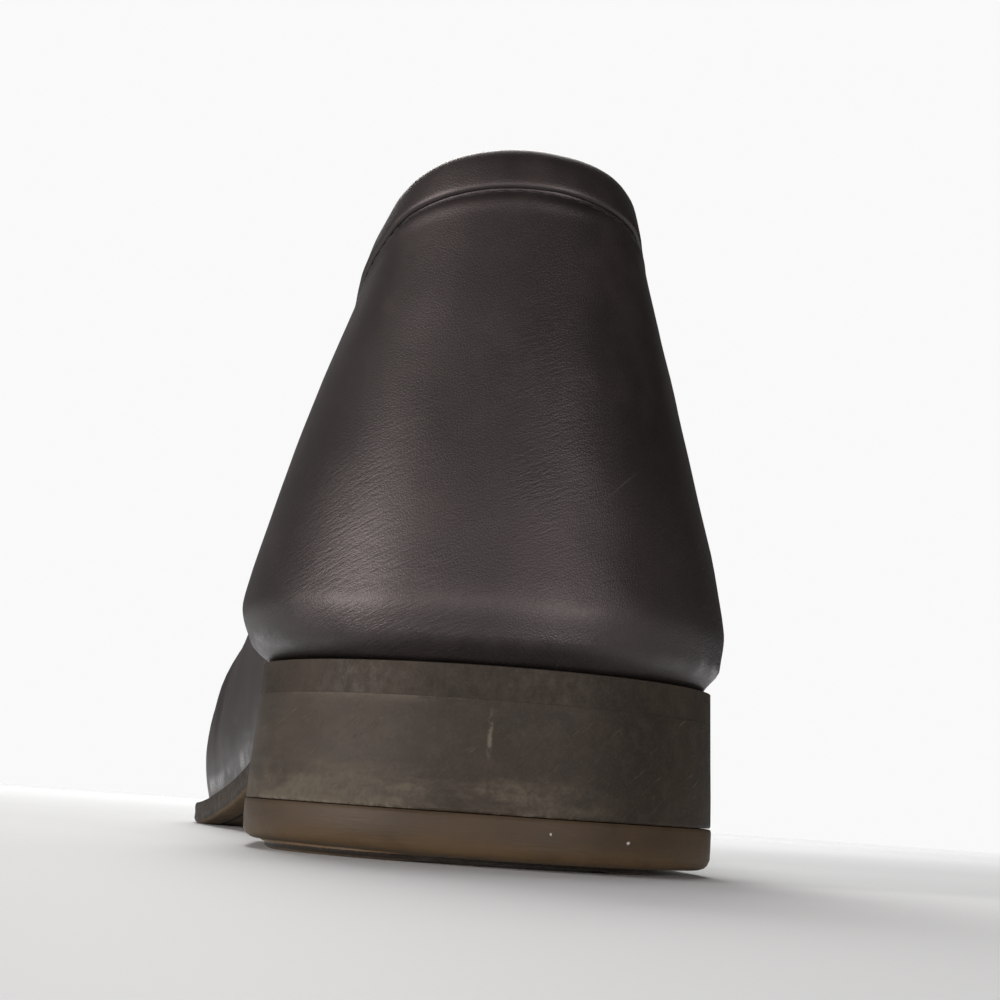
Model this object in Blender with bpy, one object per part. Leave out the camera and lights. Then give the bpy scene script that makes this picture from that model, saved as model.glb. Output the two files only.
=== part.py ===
"""Left tassel loafer: a hollow leather upper on a leather outsole with a stacked, tapped heel.

Tables and functions work in millimetres, and meshes are made in metres. The toe points along +Y,
the medial (big toe) side is +X, Y = 0 is at the back of the heel, and the shoe stands on Z = 0.
An empty at the end moves the whole shoe, so that the origin lies under the middle of its box.
"""

import math

import bmesh
import bpy
import numpy as np

MM = 0.001
GAP = 0.3                   # clearance between pieces that meet
LATERAL, MEDIAL = -1, 1     # sides, as the sign of X

# Driving sizes
TOE_Y = 299.0               # feather edge at the tip of the toe
TOE_X = 6.0                 # the tip lies towards the big toe
HEEL_BACK_Y = 0.5           # feather edge at the back of the heel
HEEL_CENTRE_Y = 34.0        # centre of the rounded heel seat
HEEL_HALF_WIDTH = 33.0
BALL_LATERAL = (192.0, 49.5, 2.15)      # start of the rounded toe: Y, half width, roundness
BALL_MEDIAL = (215.0, 47.0, 2.2)
COLLAR_RISE_Y = 118.0       # from here the topline climbs to the throat
THROAT_Y = 146.0            # front end of the opening
TOE_FAN_Y = 225.0           # ahead of this the sections swing round the toe
RIDGE_END_Y = 262.0         # where the ridge of the vamp runs out into the toe
WALL = 2.2                  # leather and lining
SOLE_THICKNESS = 5.0
INSOLE_THICKNESS, INSOLE_CLEARANCE = 2.6, 0.9
LIFT_BOTTOM, LIFT_TOP = 1.0, 7.0        # rubber top lift of the heel
BREAST_LATERAL_Y, BREAST_MEDIAL_Y = 68.5, 71.5      # front of the heel, a little slanted
BREAST_HOLLOW = 1.5
BREAST_CORNER = 6.0
CORNER_ACROSS, CORNER_ALONG = 0.3, 0.72     # a point on its rounding, as shares of it
HEEL_TOP_EDGE, HEEL_BASE_EDGE = 0.6, 1.5            # heel beyond the feather edge, top and base
LIFT_STEP = 0.3             # the lift's rim is this much narrower where it meets the heel
TAP_THICKNESS = 1.9
TAP_CENTRE = (-2.4, 31.6)
TAP_TURN = math.radians(-19.6)
NAIL_RADIUS, NAIL_HOLE_RADIUS = 1.6, 2.0
NAIL_BOTTOM, NAIL_TOP = 0.5, 1.7
NAIL_PLACES = ((0.0, -17.0), (-21.2, 0.0), (21.2, 0.0))     # on the tap
TONGUE_BACK_Y, TONGUE_FRONT_Y = 126.0, 164.0
TONGUE_SHARE = 0.64         # of the half width of the last
TONGUE_ROUNDING = 15.0      # its corners lie this far ahead of the middle of its back end
TONGUE_SAG = 9.0            # the middle of its back end lies this much lower than the instep
TONGUE_ARCH_Y, TONGUE_VAMP_Y = 140.0, 152.0     # behind: an arch of its own, ahead: it follows the vamp
TONGUE_THICKNESS = 1.8
TONGUE_CLEARANCE = 1.0
LACE_DIAMETER = 3.0
LACE_CLEARANCE = 0.6
KNOT_Y = 154.0
KNOT_HALF_SIZE = (5.0, 3.8, 3.0)        # across, along, up
TASSEL_CLEARANCE = 0.5

# Facets
HEEL_STEPS, QUARTER_STEPS, THROAT_STEPS, VAMP_STEPS, TOE_STEPS = 9, 9, 8, 8, 10
LOWER_LEVELS, UPPER_LEVELS = 3, 9


class Smooth:
    """A monotone cubic through the points of a table, level beyond its ends."""

    def __init__(self, xs, ys):
        self.xs, self.ys = np.asarray(xs, float), np.asarray(ys, float)
        steps = np.diff(self.ys) / np.diff(self.xs)
        self.slopes = np.zeros(len(self.xs))
        self.slopes[0], self.slopes[-1] = steps[0], steps[-1]
        for k in range(1, len(self.xs) - 1):
            before, after = steps[k - 1], steps[k]
            if before * after > 0:
                self.slopes[k] = 2 * before * after / (before + after)

    def __call__(self, x):
        x = min(max(x, self.xs[0]), self.xs[-1])
        k = min(int(np.searchsorted(self.xs, x, side="right")) - 1, len(self.xs) - 2)
        width = self.xs[k + 1] - self.xs[k]
        t = (x - self.xs[k]) / width
        return float(
            (2 * t**3 - 3 * t**2 + 1) * self.ys[k]
            + (t**3 - 2 * t**2 + t) * width * self.slopes[k]
            + (3 * t**2 - 2 * t**3) * self.ys[k + 1]
            + (t**3 - t**2) * width * self.slopes[k + 1]
        )


def columns(names, rows):
    """Each named column of a table as a smooth function of its first column."""
    data = np.array(rows, float)
    return {name: Smooth(data[:, 0], data[:, k + 1]) for k, name in enumerate(names)}


# Half width of the feather edge, from heel seat to ball
FEATHER = columns(
    ("lateral", "medial"),
    (
        (20, 33.0, 33.0),
        (34, 33.0, 33.0),
        (60, 32.6, 31.2),
        (90, 33.0, 25.8),
        (115, 35.5, 23.8),
        (140, 40.2, 27.2),
        (165, 45.4, 35.2),
        (192, 49.5, 43.6),
        (215, 49.5, 47.0),
        (235, 49.5, 47.0),
    ),
)

# Sections of the last along the foot: offset of its middle line, how far the wall swells past the
# feather edge on each side, height of that widest line above it, height of the ridge, roundness
# across and up. Behind the throat the ridge is where the wall would close, high above the opening.
LAST = columns(
    ("axis_x", "swell_lateral", "swell_medial", "widest", "ridge", "across", "up"),
    (
        (0, -2.6, 2.8, 2.8, 8.0, 226, 1.00, 1.20),
        (8, -2.6, 3.4, 2.6, 8.0, 187, 1.00, 1.20),
        (20, -2.6, 4.0, 2.2, 8.0, 153, 1.00, 1.20),
        (34, -2.6, 4.2, 1.8, 8.0, 142, 1.00, 1.20),
        (60, -1.8, 3.4, 1.6, 9.0, 136, 1.10, 1.30),
        (90, -1.0, 2.0, 1.6, 11.0, 122, 1.35, 1.65),
        (120, 0.2, 1.6, 1.6, 12.0, 98, 1.75, 2.00),
        (146, 1.0, 1.6, 1.6, 12.0, 85.5, 2.00, 2.00),
        (190, 4.0, 1.6, 1.6, 10.0, 66.0, 2.05, 2.05),
        (225, 5.5, 1.4, 1.4, 9.0, 53.5, 2.15, 2.15),
        (262, 6.5, 1.2, 1.2, 8.5, 43.0, 2.25, 2.30),
    ),
)

# Height of the topline above the floor, from the back of the collar to the throat
TOPLINE = columns(
    ("lateral", "medial"),
    (
        (0.5, 100.3, 100.3),
        (8, 98.0, 98.6),
        (20, 93.6, 95.0),
        (34, 88.4, 90.2),
        (60, 77.2, 79.6),
        (85, 70.2, 73.2),
        (105, 69.2, 72.4),
        (120, 72.2, 75.0),
        (134, 78.8, 80.4),
        (146, 85.5, 85.5),
    ),
)

# Underside of the outsole: heel seat, arch, flat tread and toe spring, and the edge past the upper
SOLE = columns(
    ("bottom", "edge"),
    (
        (0, 22.0, 0.6),
        (72, 22.0, 0.6),
        (100, 15.0, 1.2),
        (140, 5.2, 2.2),
        (170, 0.9, 3.0),
        (185, 0.0, 3.2),
        (232, 0.0, 3.2),
        (262, 2.6, 3.2),
        (302, 10.5, 3.2),
    ),
)

# Heel tap, right half of its kidney outline in its own frame, back to front
TAP_HALF = (
    (0, -27.5),
    (13, -24.8),
    (22, -18.2),
    (27.6, -8.0),
    (27.6, 1.2),
    (21.5, 6.2),
    (12, 3.2),
    (0, -0.5),
)

# Lace from slit to knot: share of the way out from the knot, and Y
LACE_BAR = ((1.0, 137.5), (0.68, 144.0), (0.34, 149.5), (0.0, 153.4))
SLIT_SHARE = 0.70           # place of the slit on the half width of the last
BAR_END_OFFSET = 5.2        # where the lace enters the knot

# Lace from knot to tassel: offset from the middle line towards its side, and Y
LACE_END = ((2.0, 157.9), (4.4, 161.4), (6.7, 165.0), (8.2, 167.9))

# Tassel along its axis: place, half width, half thickness
TASSEL_START, TASSEL_TIP = (8.6, 168.8), (14.5, 202.5)
TASSEL_RINGS = (
    (0.00, 1.8, 1.6),
    (0.04, 3.4, 2.8),
    (0.14, 4.6, 3.8),
    (0.24, 4.2, 3.4),
    (0.31, 3.5, 2.8),
    (0.40, 4.6, 3.2),
    (0.60, 6.4, 3.4),
    (0.80, 7.6, 3.2),
    (1.00, 8.2, 2.8),
)

# Colours: red, green, blue, roughness, metallic
BLACK_CALF = ("black_calf", 0.016, 0.014, 0.013, 0.42, 0.0)
LINING = ("insole_leather", 0.12, 0.075, 0.045, 0.6, 0.0)
SOLE_LEATHER = ("sole_leather", 0.06, 0.042, 0.03, 0.6, 0.0)
HEEL_LEATHER = ("heel_leather", 0.032, 0.028, 0.025, 0.55, 0.0)
RUBBER = ("heel_rubber", 0.045, 0.032, 0.024, 0.75, 0.0)
TAP_RUBBER = ("tap_rubber", 0.055, 0.038, 0.026, 0.65, 0.0)
BRASS = ("nail_brass", 0.42, 0.27, 0.12, 0.45, 0.9)


# The last

def side_name(side):
    return "lateral" if side < 0 else "medial"


def feather_z(y):
    """Height of the upper's lower edge, which is the top of the outsole."""
    return SOLE["bottom"](y) + SOLE_THICKNESS


def feather(y, side):
    """Plan point of the upper's lower edge."""
    start, half_width, roundness = BALL_LATERAL if side < 0 else BALL_MEDIAL
    if y < HEEL_CENTRE_Y:
        along = (HEEL_CENTRE_Y - y) / (HEEL_CENTRE_Y - HEEL_BACK_Y)
        x = side * HEEL_HALF_WIDTH * math.sqrt(max(0.0, 1 - along**2))
    elif y > start:
        along = min(1.0, (y - start) / (TOE_Y - start))
        reach = half_width - side * TOE_X
        x = TOE_X + side * reach * (1 - along**roundness) ** (1 / roundness)
    else:
        x = side * FEATHER[side_name(side)](y)
    return np.array((x, y))


def axis_y(y):
    """Where the section of a station meets the middle line: it swings round at heel and toe."""
    if y <= TOE_FAN_Y:
        return max(y, HEEL_CENTRE_Y)
    turn = math.asin(min(1.0, (y - TOE_FAN_Y) / (TOE_Y - TOE_FAN_Y)))
    return TOE_FAN_Y + (RIDGE_END_Y - TOE_FAN_Y) * turn / (math.pi / 2)


def section(y, side):
    """The sizes of the last at a station: its spine, its reach to the side, and its heights."""
    spine_y = axis_y(y)
    along = spine_y if y > TOE_FAN_Y else y
    spine = np.array((LAST["axis_x"](spine_y), spine_y))
    reach = feather(y, side) - spine
    widest_z = feather_z(y) + LAST["widest"](y)
    return {
        "spine": spine,
        "reach": reach,
        "swell": 1 + LAST["swell_" + side_name(side)](y) / float(np.hypot(*reach)),
        "widest_z": widest_z,
        "rise": LAST["ridge"](along) - widest_z,
        "across": LAST["across"](along),
        "up": LAST["up"](along),
    }


def top_angle(y, side):
    """How far up the section the leather reaches: a quarter turn where it closes over the foot."""
    if y >= THROAT_Y:
        return math.pi / 2
    s = section(y, side)
    share = (TOPLINE[side_name(side)](y) - s["widest_z"]) / s["rise"]
    return math.asin(min(1.0, share ** (s["up"] / 2)))


def last_point(y, side, level):
    """Outside of the upper. Level -1 is the feather edge, 0 the widest line, 1 the topline or ridge."""
    s = section(y, side)
    if level <= 0:
        share = s["swell"] - (s["swell"] - 1) * level**2
        z = s["widest_z"] + LAST["widest"](y) * level
    else:
        angle = level * top_angle(y, side)
        inward = max(0.0, math.cos(angle)) ** (2 / s["across"])
        share = s["swell"] * inward
        z = s["widest_z"] + s["rise"] * math.sin(angle) ** (2 / s["up"])
        if y > TOE_FAN_Y:
            # The toe leaves the ridge at the slope the ridge arrives with
            ridge = LAST["ridge"]
            slope = (ridge(RIDGE_END_Y) - ridge(TOE_FAN_Y)) / (RIDGE_END_Y - TOE_FAN_Y)
            z += slope * s["reach"][1] * inward * (1 - inward)
    plan = s["spine"] + s["reach"] * share
    return np.array((plan[0], plan[1], z))


def half_width(y, side):
    """From the middle line of the last to the widest line of the upper."""
    s = section(y, side)
    return abs(s["reach"][0]) * s["swell"]


def vamp_z(offset, y):
    """Height of the vamp over a plan point, given as an offset from the middle line."""
    side = MEDIAL if offset > 0 else LATERAL
    s = section(y, side)
    inward = min(1.0, abs(offset) / half_width(y, side))
    return s["widest_z"] + s["rise"] * (1 - inward ** s["across"]) ** (1 / s["up"])


def on_vamp(offset, y, lift):
    """A point this far above the vamp, along its normal."""
    step = 0.5
    slope_x = (vamp_z(offset + step, y) - vamp_z(offset - step, y)) / (2 * step)
    slope_y = (vamp_z(offset, y + step) - vamp_z(offset, y - step)) / (2 * step)
    normal = np.array((-slope_x, -slope_y, 1.0))
    base = np.array((LAST["axis_x"](y) + offset, y, vamp_z(offset, y)))
    return base + normal / np.linalg.norm(normal) * lift


def stations():
    """Places along the foot, closer together round the heel, the throat and the toe."""
    heel = [
        HEEL_CENTRE_Y - (HEEL_CENTRE_Y - HEEL_BACK_Y) * math.cos(math.pi / 2 * k / HEEL_STEPS)
        for k in range(HEEL_STEPS)
    ]
    quarter = list(np.linspace(HEEL_CENTRE_Y, COLLAR_RISE_Y, QUARTER_STEPS, endpoint=False))
    throat = list(np.linspace(COLLAR_RISE_Y, THROAT_Y, THROAT_STEPS, endpoint=False))
    vamp = list(np.linspace(THROAT_Y, TOE_FAN_Y, VAMP_STEPS, endpoint=False))
    toe = [
        TOE_FAN_Y + (TOE_Y - TOE_FAN_Y) * math.sin(math.pi / 2 * k / TOE_STEPS)
        for k in range(TOE_STEPS + 1)
    ]
    return heel + quarter + throat + vamp + toe


def ring_stations():
    """Stations once round the shoe: back of the heel, lateral side, toe, medial side."""
    places = stations()
    there = [(y, LATERAL) for y in places]
    back = [(y, MEDIAL) for y in reversed(places[1:-1])]
    return there + back


def offset_loop(points, distances):
    """A closed plan loop moved outwards by a distance at each point."""
    points = np.array(points)
    tangents = np.roll(points, -1, axis=0) - np.roll(points, 1, axis=0)
    normals = np.stack((-tangents[:, 1], tangents[:, 0]), axis=1)
    normals /= np.linalg.norm(normals, axis=1)[:, None]
    return points + normals * np.array(distances)[:, None]


def sole_loop(distance):
    """The feather edge all round, moved outwards by a distance that may change along the foot."""
    ring = ring_stations()
    return offset_loop([feather(y, side) for y, side in ring], [distance(y) for y, _ in ring])


# Meshes

def material(recipe):
    name, red, green, blue, roughness, metallic = recipe
    made = bpy.data.materials.get(name) or bpy.data.materials.new(name)
    made.use_nodes = True
    shader = made.node_tree.nodes["Principled BSDF"]
    shader.inputs["Base Color"].default_value = (red, green, blue, 1)
    shader.inputs["Roughness"].default_value = roughness
    shader.inputs["Metallic"].default_value = metallic
    return made


def mesh_object(name, points, faces, recipe):
    mesh = bpy.data.meshes.new(name)
    mesh.from_pydata([tuple(np.asarray(p) * MM) for p in points], [], faces)
    mesh.update()
    mesh.shade_smooth()
    mesh.set_sharp_from_angle(angle=math.radians(40))
    mesh.materials.append(material(recipe))
    obj = bpy.data.objects.new(name, mesh)
    bpy.context.scene.collection.objects.link(obj)
    return obj


def thicken_inwards(obj, thickness):
    solid = obj.modifiers.new("wall", "SOLIDIFY")
    solid.thickness = thickness * MM
    solid.offset = -1
    solid.use_even_offset = True
    solid.use_rim = True


def cut(obj, cutter, name):
    """Subtracts a helper object, which is left out of the model."""
    cutter.hide_render = True
    cutter.display_type = "WIRE"
    modifier = obj.modifiers.new(name, "BOOLEAN")
    modifier.operation = "DIFFERENCE"
    modifier.object = cutter


def side_faces(rows, count):
    """Quads between loops of points stacked upwards, each loop running clockwise seen from above."""
    return [
        (
            low * count + (k + 1) % count,
            low * count + k,
            (low + 1) * count + k,
            (low + 1) * count + (k + 1) % count,
        )
        for low in range(rows - 1)
        for k in range(count)
    ]


def prism(name, loops, heights, recipe):
    """A closed solid through stacked plan loops with flat ends."""
    count = len(loops[0])
    points = [(x, y, z) for loop, z in zip(loops, heights) for x, y in loop]
    top = (len(loops) - 1) * count
    faces = side_faces(len(loops), count)
    faces.append(tuple(range(count)))
    faces.append(tuple(reversed(range(top, top + count))))
    return mesh_object(name, points, faces, recipe)


def strip_faces(start, count, upwards):
    """Faces across a sole from its lateral to its medial edge."""
    half = count // 2
    faces = [(0, 1, count - 1)]
    faces += [(k, k + 1, count - k - 1, count - k) for k in range(1, half - 1)]
    faces.append((half - 1, half, half + 1))
    faces = [tuple(start + k for k in face) for face in faces]
    return [tuple(reversed(face)) for face in faces] if upwards else faces


def slab(name, rows, recipe):
    """A closed solid under the foot. Each row, going up, is a plan loop and a height function of Y."""
    count = len(rows[0][0])
    points = [(x, y, height(y)) for loop, height in rows for x, y in loop]
    faces = side_faces(len(rows), count)
    faces += strip_faces(0, count, upwards=False)
    faces += strip_faces((len(rows) - 1) * count, count, upwards=True)
    return mesh_object(name, points, faces, recipe)


def loft(name, rings, recipe):
    """A closed solid through rings of points, with a flat face at each end."""
    count = len(rings[0])
    points = [p for ring in rings for p in ring]
    faces = [
        (
            k * count + i,
            k * count + (i + 1) % count,
            (k + 1) * count + (i + 1) % count,
            (k + 1) * count + i,
        )
        for k in range(len(rings) - 1)
        for i in range(count)
    ]
    faces.append(tuple(reversed(range(count))))
    faces.append(tuple(range((len(rings) - 1) * count, len(rings) * count)))
    obj = mesh_object(name, points, faces, recipe)
    shape = bmesh.new()
    shape.from_mesh(obj.data)
    bmesh.ops.recalc_face_normals(shape, faces=shape.faces)
    shape.to_mesh(obj.data)
    shape.free()
    return obj


def spline(points, closed, steps):
    """Points along a smooth curve through a few given ones."""
    points = [np.array(p, float) for p in points]
    count = len(points)
    found = []
    for k in range(count if closed else count - 1):
        if closed:
            before, here, after, beyond = (points[(k + i) % count] for i in (-1, 0, 1, 2))
        else:
            here, after = points[k], points[k + 1]
            before = points[k - 1] if k else 2 * here - after
            beyond = points[k + 2] if k + 2 < count else 2 * after - here
        for t in np.arange(steps) / steps:
            found.append(
                0.5 * (
                    2 * here
                    + (after - before) * t
                    + (2 * before - 5 * here + 4 * after - beyond) * t**2
                    + (3 * here - before - 3 * after + beyond) * t**3
                )
            )
    return found if closed else found + [points[-1]]


# Upper, tongue and insole

def build_upper():
    """One wall from the feather edge to the collar, closed over the vamp and open underneath."""
    ring = ring_stations()
    levels = [-1 + k / LOWER_LEVELS for k in range(LOWER_LEVELS)]
    levels += [k / UPPER_LEVELS for k in range(UPPER_LEVELS + 1)]
    points, index = [], {}
    for column, (y, side) in enumerate(ring):
        for row, level in enumerate(levels):
            partner = len(ring) - column
            shared = row == len(levels) - 1 and y >= THROAT_Y and (partner, row) in index
            if shared:
                index[column, row] = index[partner, row]
            else:
                index[column, row] = len(points)
                points.append(last_point(y, side, level))
    faces = []
    for column in range(len(ring)):
        after = (column + 1) % len(ring)
        for row in range(len(levels) - 1):
            corners = (index[after, row], index[column, row], index[column, row + 1], index[after, row + 1])
            faces.append(tuple(dict.fromkeys(corners)))
    upper = mesh_object("upper", points, faces, BLACK_CALF)
    thicken_inwards(upper, WALL)
    return upper


def tongue_point(share, run):
    """A point of the tongue's top. It follows the vamp and runs out behind the throat in a low arch."""
    depth = WALL + TONGUE_CLEARANCE
    y = TONGUE_BACK_Y + (TONGUE_FRONT_Y - TONGUE_BACK_Y) * run
    place = y + TONGUE_ROUNDING * abs(share) ** 2.5 * (1 - run)
    side = MEDIAL if share > 0 else LATERAL
    half = TONGUE_SHARE * half_width(place, side)
    under = on_vamp(half * share, place, -depth)
    edge = on_vamp(half * side, place, -depth)
    back = max(0.0, TONGUE_VAMP_Y - place) / (TONGUE_VAMP_Y - TONGUE_BACK_Y)
    slope = LAST["ridge"](place + 0.5) - LAST["ridge"](place - 0.5)
    middle_z = LAST["ridge"](place) - depth * math.hypot(1, slope) - TONGUE_SAG * back**2
    middle = np.array((LAST["axis_x"](place), place, middle_z))
    arch = middle + (edge - middle) * (abs(share), share**2, share**2)
    t = min(1.0, max(0.0, (place - TONGUE_ARCH_Y) / (TONGUE_VAMP_Y - TONGUE_ARCH_Y)))
    blend = t * t * (3 - 2 * t)
    return arch * (1 - blend) + under * blend


def build_tongue():
    """A curved sheet under the throat, rounded at its back end."""
    across, along = 12, 9
    points = [
        tongue_point(2 * i / across - 1, j / along) for j in range(along + 1) for i in range(across + 1)
    ]
    faces = [
        (
            j * (across + 1) + i,
            j * (across + 1) + i + 1,
            (j + 1) * (across + 1) + i + 1,
            (j + 1) * (across + 1) + i,
        )
        for j in range(along)
        for i in range(across)
    ]
    tongue = mesh_object("tongue", points, faces, BLACK_CALF)
    thicken_inwards(tongue, TONGUE_THICKNESS)
    return tongue


def build_insole():
    loop = sole_loop(lambda y: -(WALL + INSOLE_CLEARANCE))
    return slab(
        "insole",
        ((loop, feather_z), (loop, lambda y: feather_z(y) + INSOLE_THICKNESS)),
        LINING,
    )


# Sole and heel

def build_outsole():
    """Flat layers of leather following arch and toe spring, with softened edges."""
    soften_bottom, soften_top = 0.9, 0.4

    def height(share):
        return lambda y: SOLE["bottom"](y) + (SOLE_THICKNESS - GAP) * share

    edge = SOLE["edge"]
    rows = (
        (sole_loop(lambda y: edge(y) - soften_bottom), height(0.0)),
        (sole_loop(edge), height(0.22)),
        (sole_loop(edge), height(0.86)),
        (sole_loop(lambda y: edge(y) - soften_top), height(1.0)),
    )
    return slab("outsole", rows, SOLE_LEATHER)


def heel_loop(distance):
    """Plan of the heel: the back of the sole's edge closed by a slanted, slightly hollow breast."""
    lateral_end, medial_end = BREAST_LATERAL_Y - BREAST_CORNER, BREAST_MEDIAL_Y - BREAST_CORNER
    back = [
        HEEL_CENTRE_Y - (HEEL_CENTRE_Y - HEEL_BACK_Y) * math.cos(math.pi / 2 * k / HEEL_STEPS)
        for k in range(HEEL_STEPS + 1)
    ]
    lateral = back + [(HEEL_CENTRE_Y + lateral_end) / 2, lateral_end]
    medial = back[1:] + [(HEEL_CENTRE_Y + medial_end) / 2, medial_end]
    wall = [feather(y, MEDIAL) for y in reversed(medial)] + [feather(y, LATERAL) for y in lateral]
    start, end = wall[-1], wall[0]
    corner = BREAST_CORNER * np.array((CORNER_ACROSS, CORNER_ALONG))
    front_start = np.array((start[0] + BREAST_CORNER, BREAST_LATERAL_Y))
    front_end = np.array((end[0] - BREAST_CORNER, BREAST_MEDIAL_Y))
    breast = [start + corner, front_start]
    for share in (0.25, 0.5, 0.75):
        hollow = np.array((0.0, -BREAST_HOLLOW * 4 * share * (1 - share)))
        breast.append(front_start * (1 - share) + front_end * share + hollow)
    breast += [front_end, end + corner * (-1, 1)]
    loop = offset_loop(wall + breast, [distance] * (len(wall) + len(breast)))
    return [tuple(p) for p in loop]


def build_heel_stack():
    seat = SOLE["bottom"](0) - GAP
    low, high = heel_loop(HEEL_BASE_EDGE - LIFT_STEP), heel_loop(HEEL_TOP_EDGE)
    return prism("heel_stack", (low, high), (LIFT_TOP + GAP, seat), HEEL_LEATHER)


def tap_loop(distance):
    """The kidney outline of the tap where it lies on the heel."""
    half = list(TAP_HALF)
    whole = half + [(-x, y) for x, y in reversed(half[1:-1])]
    loop = offset_loop(list(reversed(spline(whole, closed=True, steps=3))), [distance] * len(whole) * 3)
    return [on_heel(p) for p in loop]


def on_heel(point):
    """A point of the tap's own frame, turned towards the worn outer back corner of the heel."""
    x, y = point
    cos, sin = math.cos(TAP_TURN), math.sin(TAP_TURN)
    return (TAP_CENTRE[0] + x * cos - y * sin, TAP_CENTRE[1] + x * sin + y * cos)


def disc_loop(centre, radius, count=14):
    turns = [-2 * math.pi * k / count for k in range(count)]
    return [(centre[0] + radius * math.cos(t), centre[1] + radius * math.sin(t)) for t in turns]


def build_top_lift():
    """Rubber base of the heel, worn round at its lower edge, with a pocket for the tap."""
    worn = 1.2
    loops = [heel_loop(HEEL_BASE_EDGE - inset) for inset in (worn, 0.0, LIFT_STEP)]
    lift = prism("top_lift", loops, (LIFT_BOTTOM, LIFT_BOTTOM + worn, LIFT_TOP), RUBBER)
    pocket = tap_loop(GAP)
    below = -5.0
    cutter = prism("tap_pocket", (pocket, pocket), (below, TAP_THICKNESS + GAP), RUBBER)
    cut(lift, cutter, "tap_pocket")
    return lift


def build_tap():
    """Nailed kidney plate. It stands a little proud, so the heel rests on it."""
    soften = 0.5
    loops = (tap_loop(-soften), tap_loop(0), tap_loop(0))
    tap = prism("heel_tap", loops, (0.0, soften, TAP_THICKNESS), TAP_RUBBER)
    nails = []
    for number, place in enumerate(NAIL_PLACES, 1):
        centre = on_heel(place)
        hole = disc_loop(centre, NAIL_HOLE_RADIUS)
        cutter = prism(f"nail_hole_{number}", (hole, hole), (-1.0, TAP_THICKNESS + 1.0), TAP_RUBBER)
        cut(tap, cutter, f"nail_hole_{number}")
        shank = disc_loop(centre, NAIL_RADIUS)
        nails.append(prism(f"heel_nail_{number}", (shank, shank), (NAIL_BOTTOM, NAIL_TOP), BRASS))
    return [tap, *nails]


# Lace and tassels

def tube(name, route, diameter, recipe):
    """A round cord along a few points, as a curve with filled ends."""
    data = bpy.data.curves.new(name, "CURVE")
    data.dimensions = "3D"
    data.bevel_depth = diameter / 2 * MM
    data.bevel_resolution = 2
    data.use_fill_caps = True
    data.materials.append(material(recipe))
    line = data.splines.new("POLY")
    smooth_route = spline(route, closed=False, steps=3)
    line.points.add(len(smooth_route) - 1)
    for point, place in zip(line.points, smooth_route):
        point.co = (*(place * MM), 1)
    obj = bpy.data.objects.new(name, data)
    bpy.context.scene.collection.objects.link(obj)
    return obj


def build_lace(side):
    """One side of the lace: from its slit in the quarter to the knot, and on to the tassel."""
    lift = LACE_DIAMETER / 2 + LACE_CLEARANCE
    name = side_name(side)
    outwards = SLIT_SHARE * half_width(LACE_BAR[0][1], side) - BAR_END_OFFSET
    bar = [on_vamp(side * (BAR_END_OFFSET + outwards * share), y, lift) for share, y in LACE_BAR]
    end = [on_vamp(side * offset, y, lift) for offset, y in LACE_END]
    return [
        tube(f"lace_bar_{name}", bar, LACE_DIAMETER, BLACK_CALF),
        tube(f"lace_end_{name}", end, LACE_DIAMETER, BLACK_CALF),
    ]


def draped_ring(centre, across, half_width, half_thickness, clearance, count=12):
    """An oval ring that lies on the vamp: across it and away from it."""
    ring = []
    for k in range(count):
        turn = 2 * math.pi * k / count
        offset = np.array(centre) + np.array(across) * half_width * math.cos(turn)
        lift = clearance + half_thickness * (1 + math.sin(turn))
        ring.append(on_vamp(offset[0], offset[1], lift))
    return ring


def build_knot():
    """The flat knot that holds both ends of the lace, lying on the vamp before the throat."""
    half_across, half_along, half_up = KNOT_HALF_SIZE
    rings = []
    for k in range(1, 8):
        turn = math.pi * k / 8
        size = math.sin(turn)
        centre = (0.0, KNOT_Y - half_along * math.cos(turn))
        lift = LACE_CLEARANCE + half_up * (1 - size)
        rings.append(draped_ring(centre, (1, 0), half_across * size, half_up * size, lift))
    return loft("lace_knot", rings, BLACK_CALF)


def build_tassel(side):
    """Head and fringe as one plain solid draped on the vamp."""
    start = np.array((side * TASSEL_START[0], TASSEL_START[1]))
    tip = np.array((side * TASSEL_TIP[0], TASSEL_TIP[1]))
    along = (tip - start) / np.linalg.norm(tip - start)
    across = (along[1], -along[0])
    rings = [
        draped_ring(start + (tip - start) * place, across, half_width, half_thickness, TASSEL_CLEARANCE)
        for place, half_width, half_thickness in TASSEL_RINGS
    ]
    return loft(f"tassel_{side_name(side)}", rings, BLACK_CALF)


# The shoe

def centre_on_origin(objects):
    """Parents every piece to an empty that brings the middle of the shoe's plan over the origin."""
    bpy.context.view_layer.update()
    graph = bpy.context.evaluated_depsgraph_get()
    solids = [obj.evaluated_get(graph) for obj in objects if obj.type == "MESH"]
    corners = np.array([tuple(corner) for solid in solids for corner in solid.bound_box])
    middle = (corners.min(axis=0) + corners.max(axis=0)) / 2
    shoe = bpy.data.objects.new("tassel_loafer", None)
    bpy.context.scene.collection.objects.link(shoe)
    for obj in bpy.context.scene.objects:
        if obj is not shoe:
            obj.parent = shoe
    shoe.location = (-middle[0], -middle[1], 0)


def main():
    for obj in list(bpy.data.objects):
        bpy.data.objects.remove(obj)
    pieces = [build_upper(), build_tongue(), build_insole(), build_outsole()]
    pieces += [build_heel_stack(), build_top_lift(), *build_tap()]
    for side in (LATERAL, MEDIAL):
        pieces += [*build_lace(side), build_tassel(side)]
    pieces.append(build_knot())
    centre_on_origin(pieces)


main()
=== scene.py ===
"""Looks of the left tassel loafer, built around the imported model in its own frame.

The tables and the last repeat the CAD model's, in millimetres: the toe points along +Y, the medial
side is +X, and Y = 0 is at the back of the heel. to_row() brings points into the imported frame.
"""

import math
import random

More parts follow.
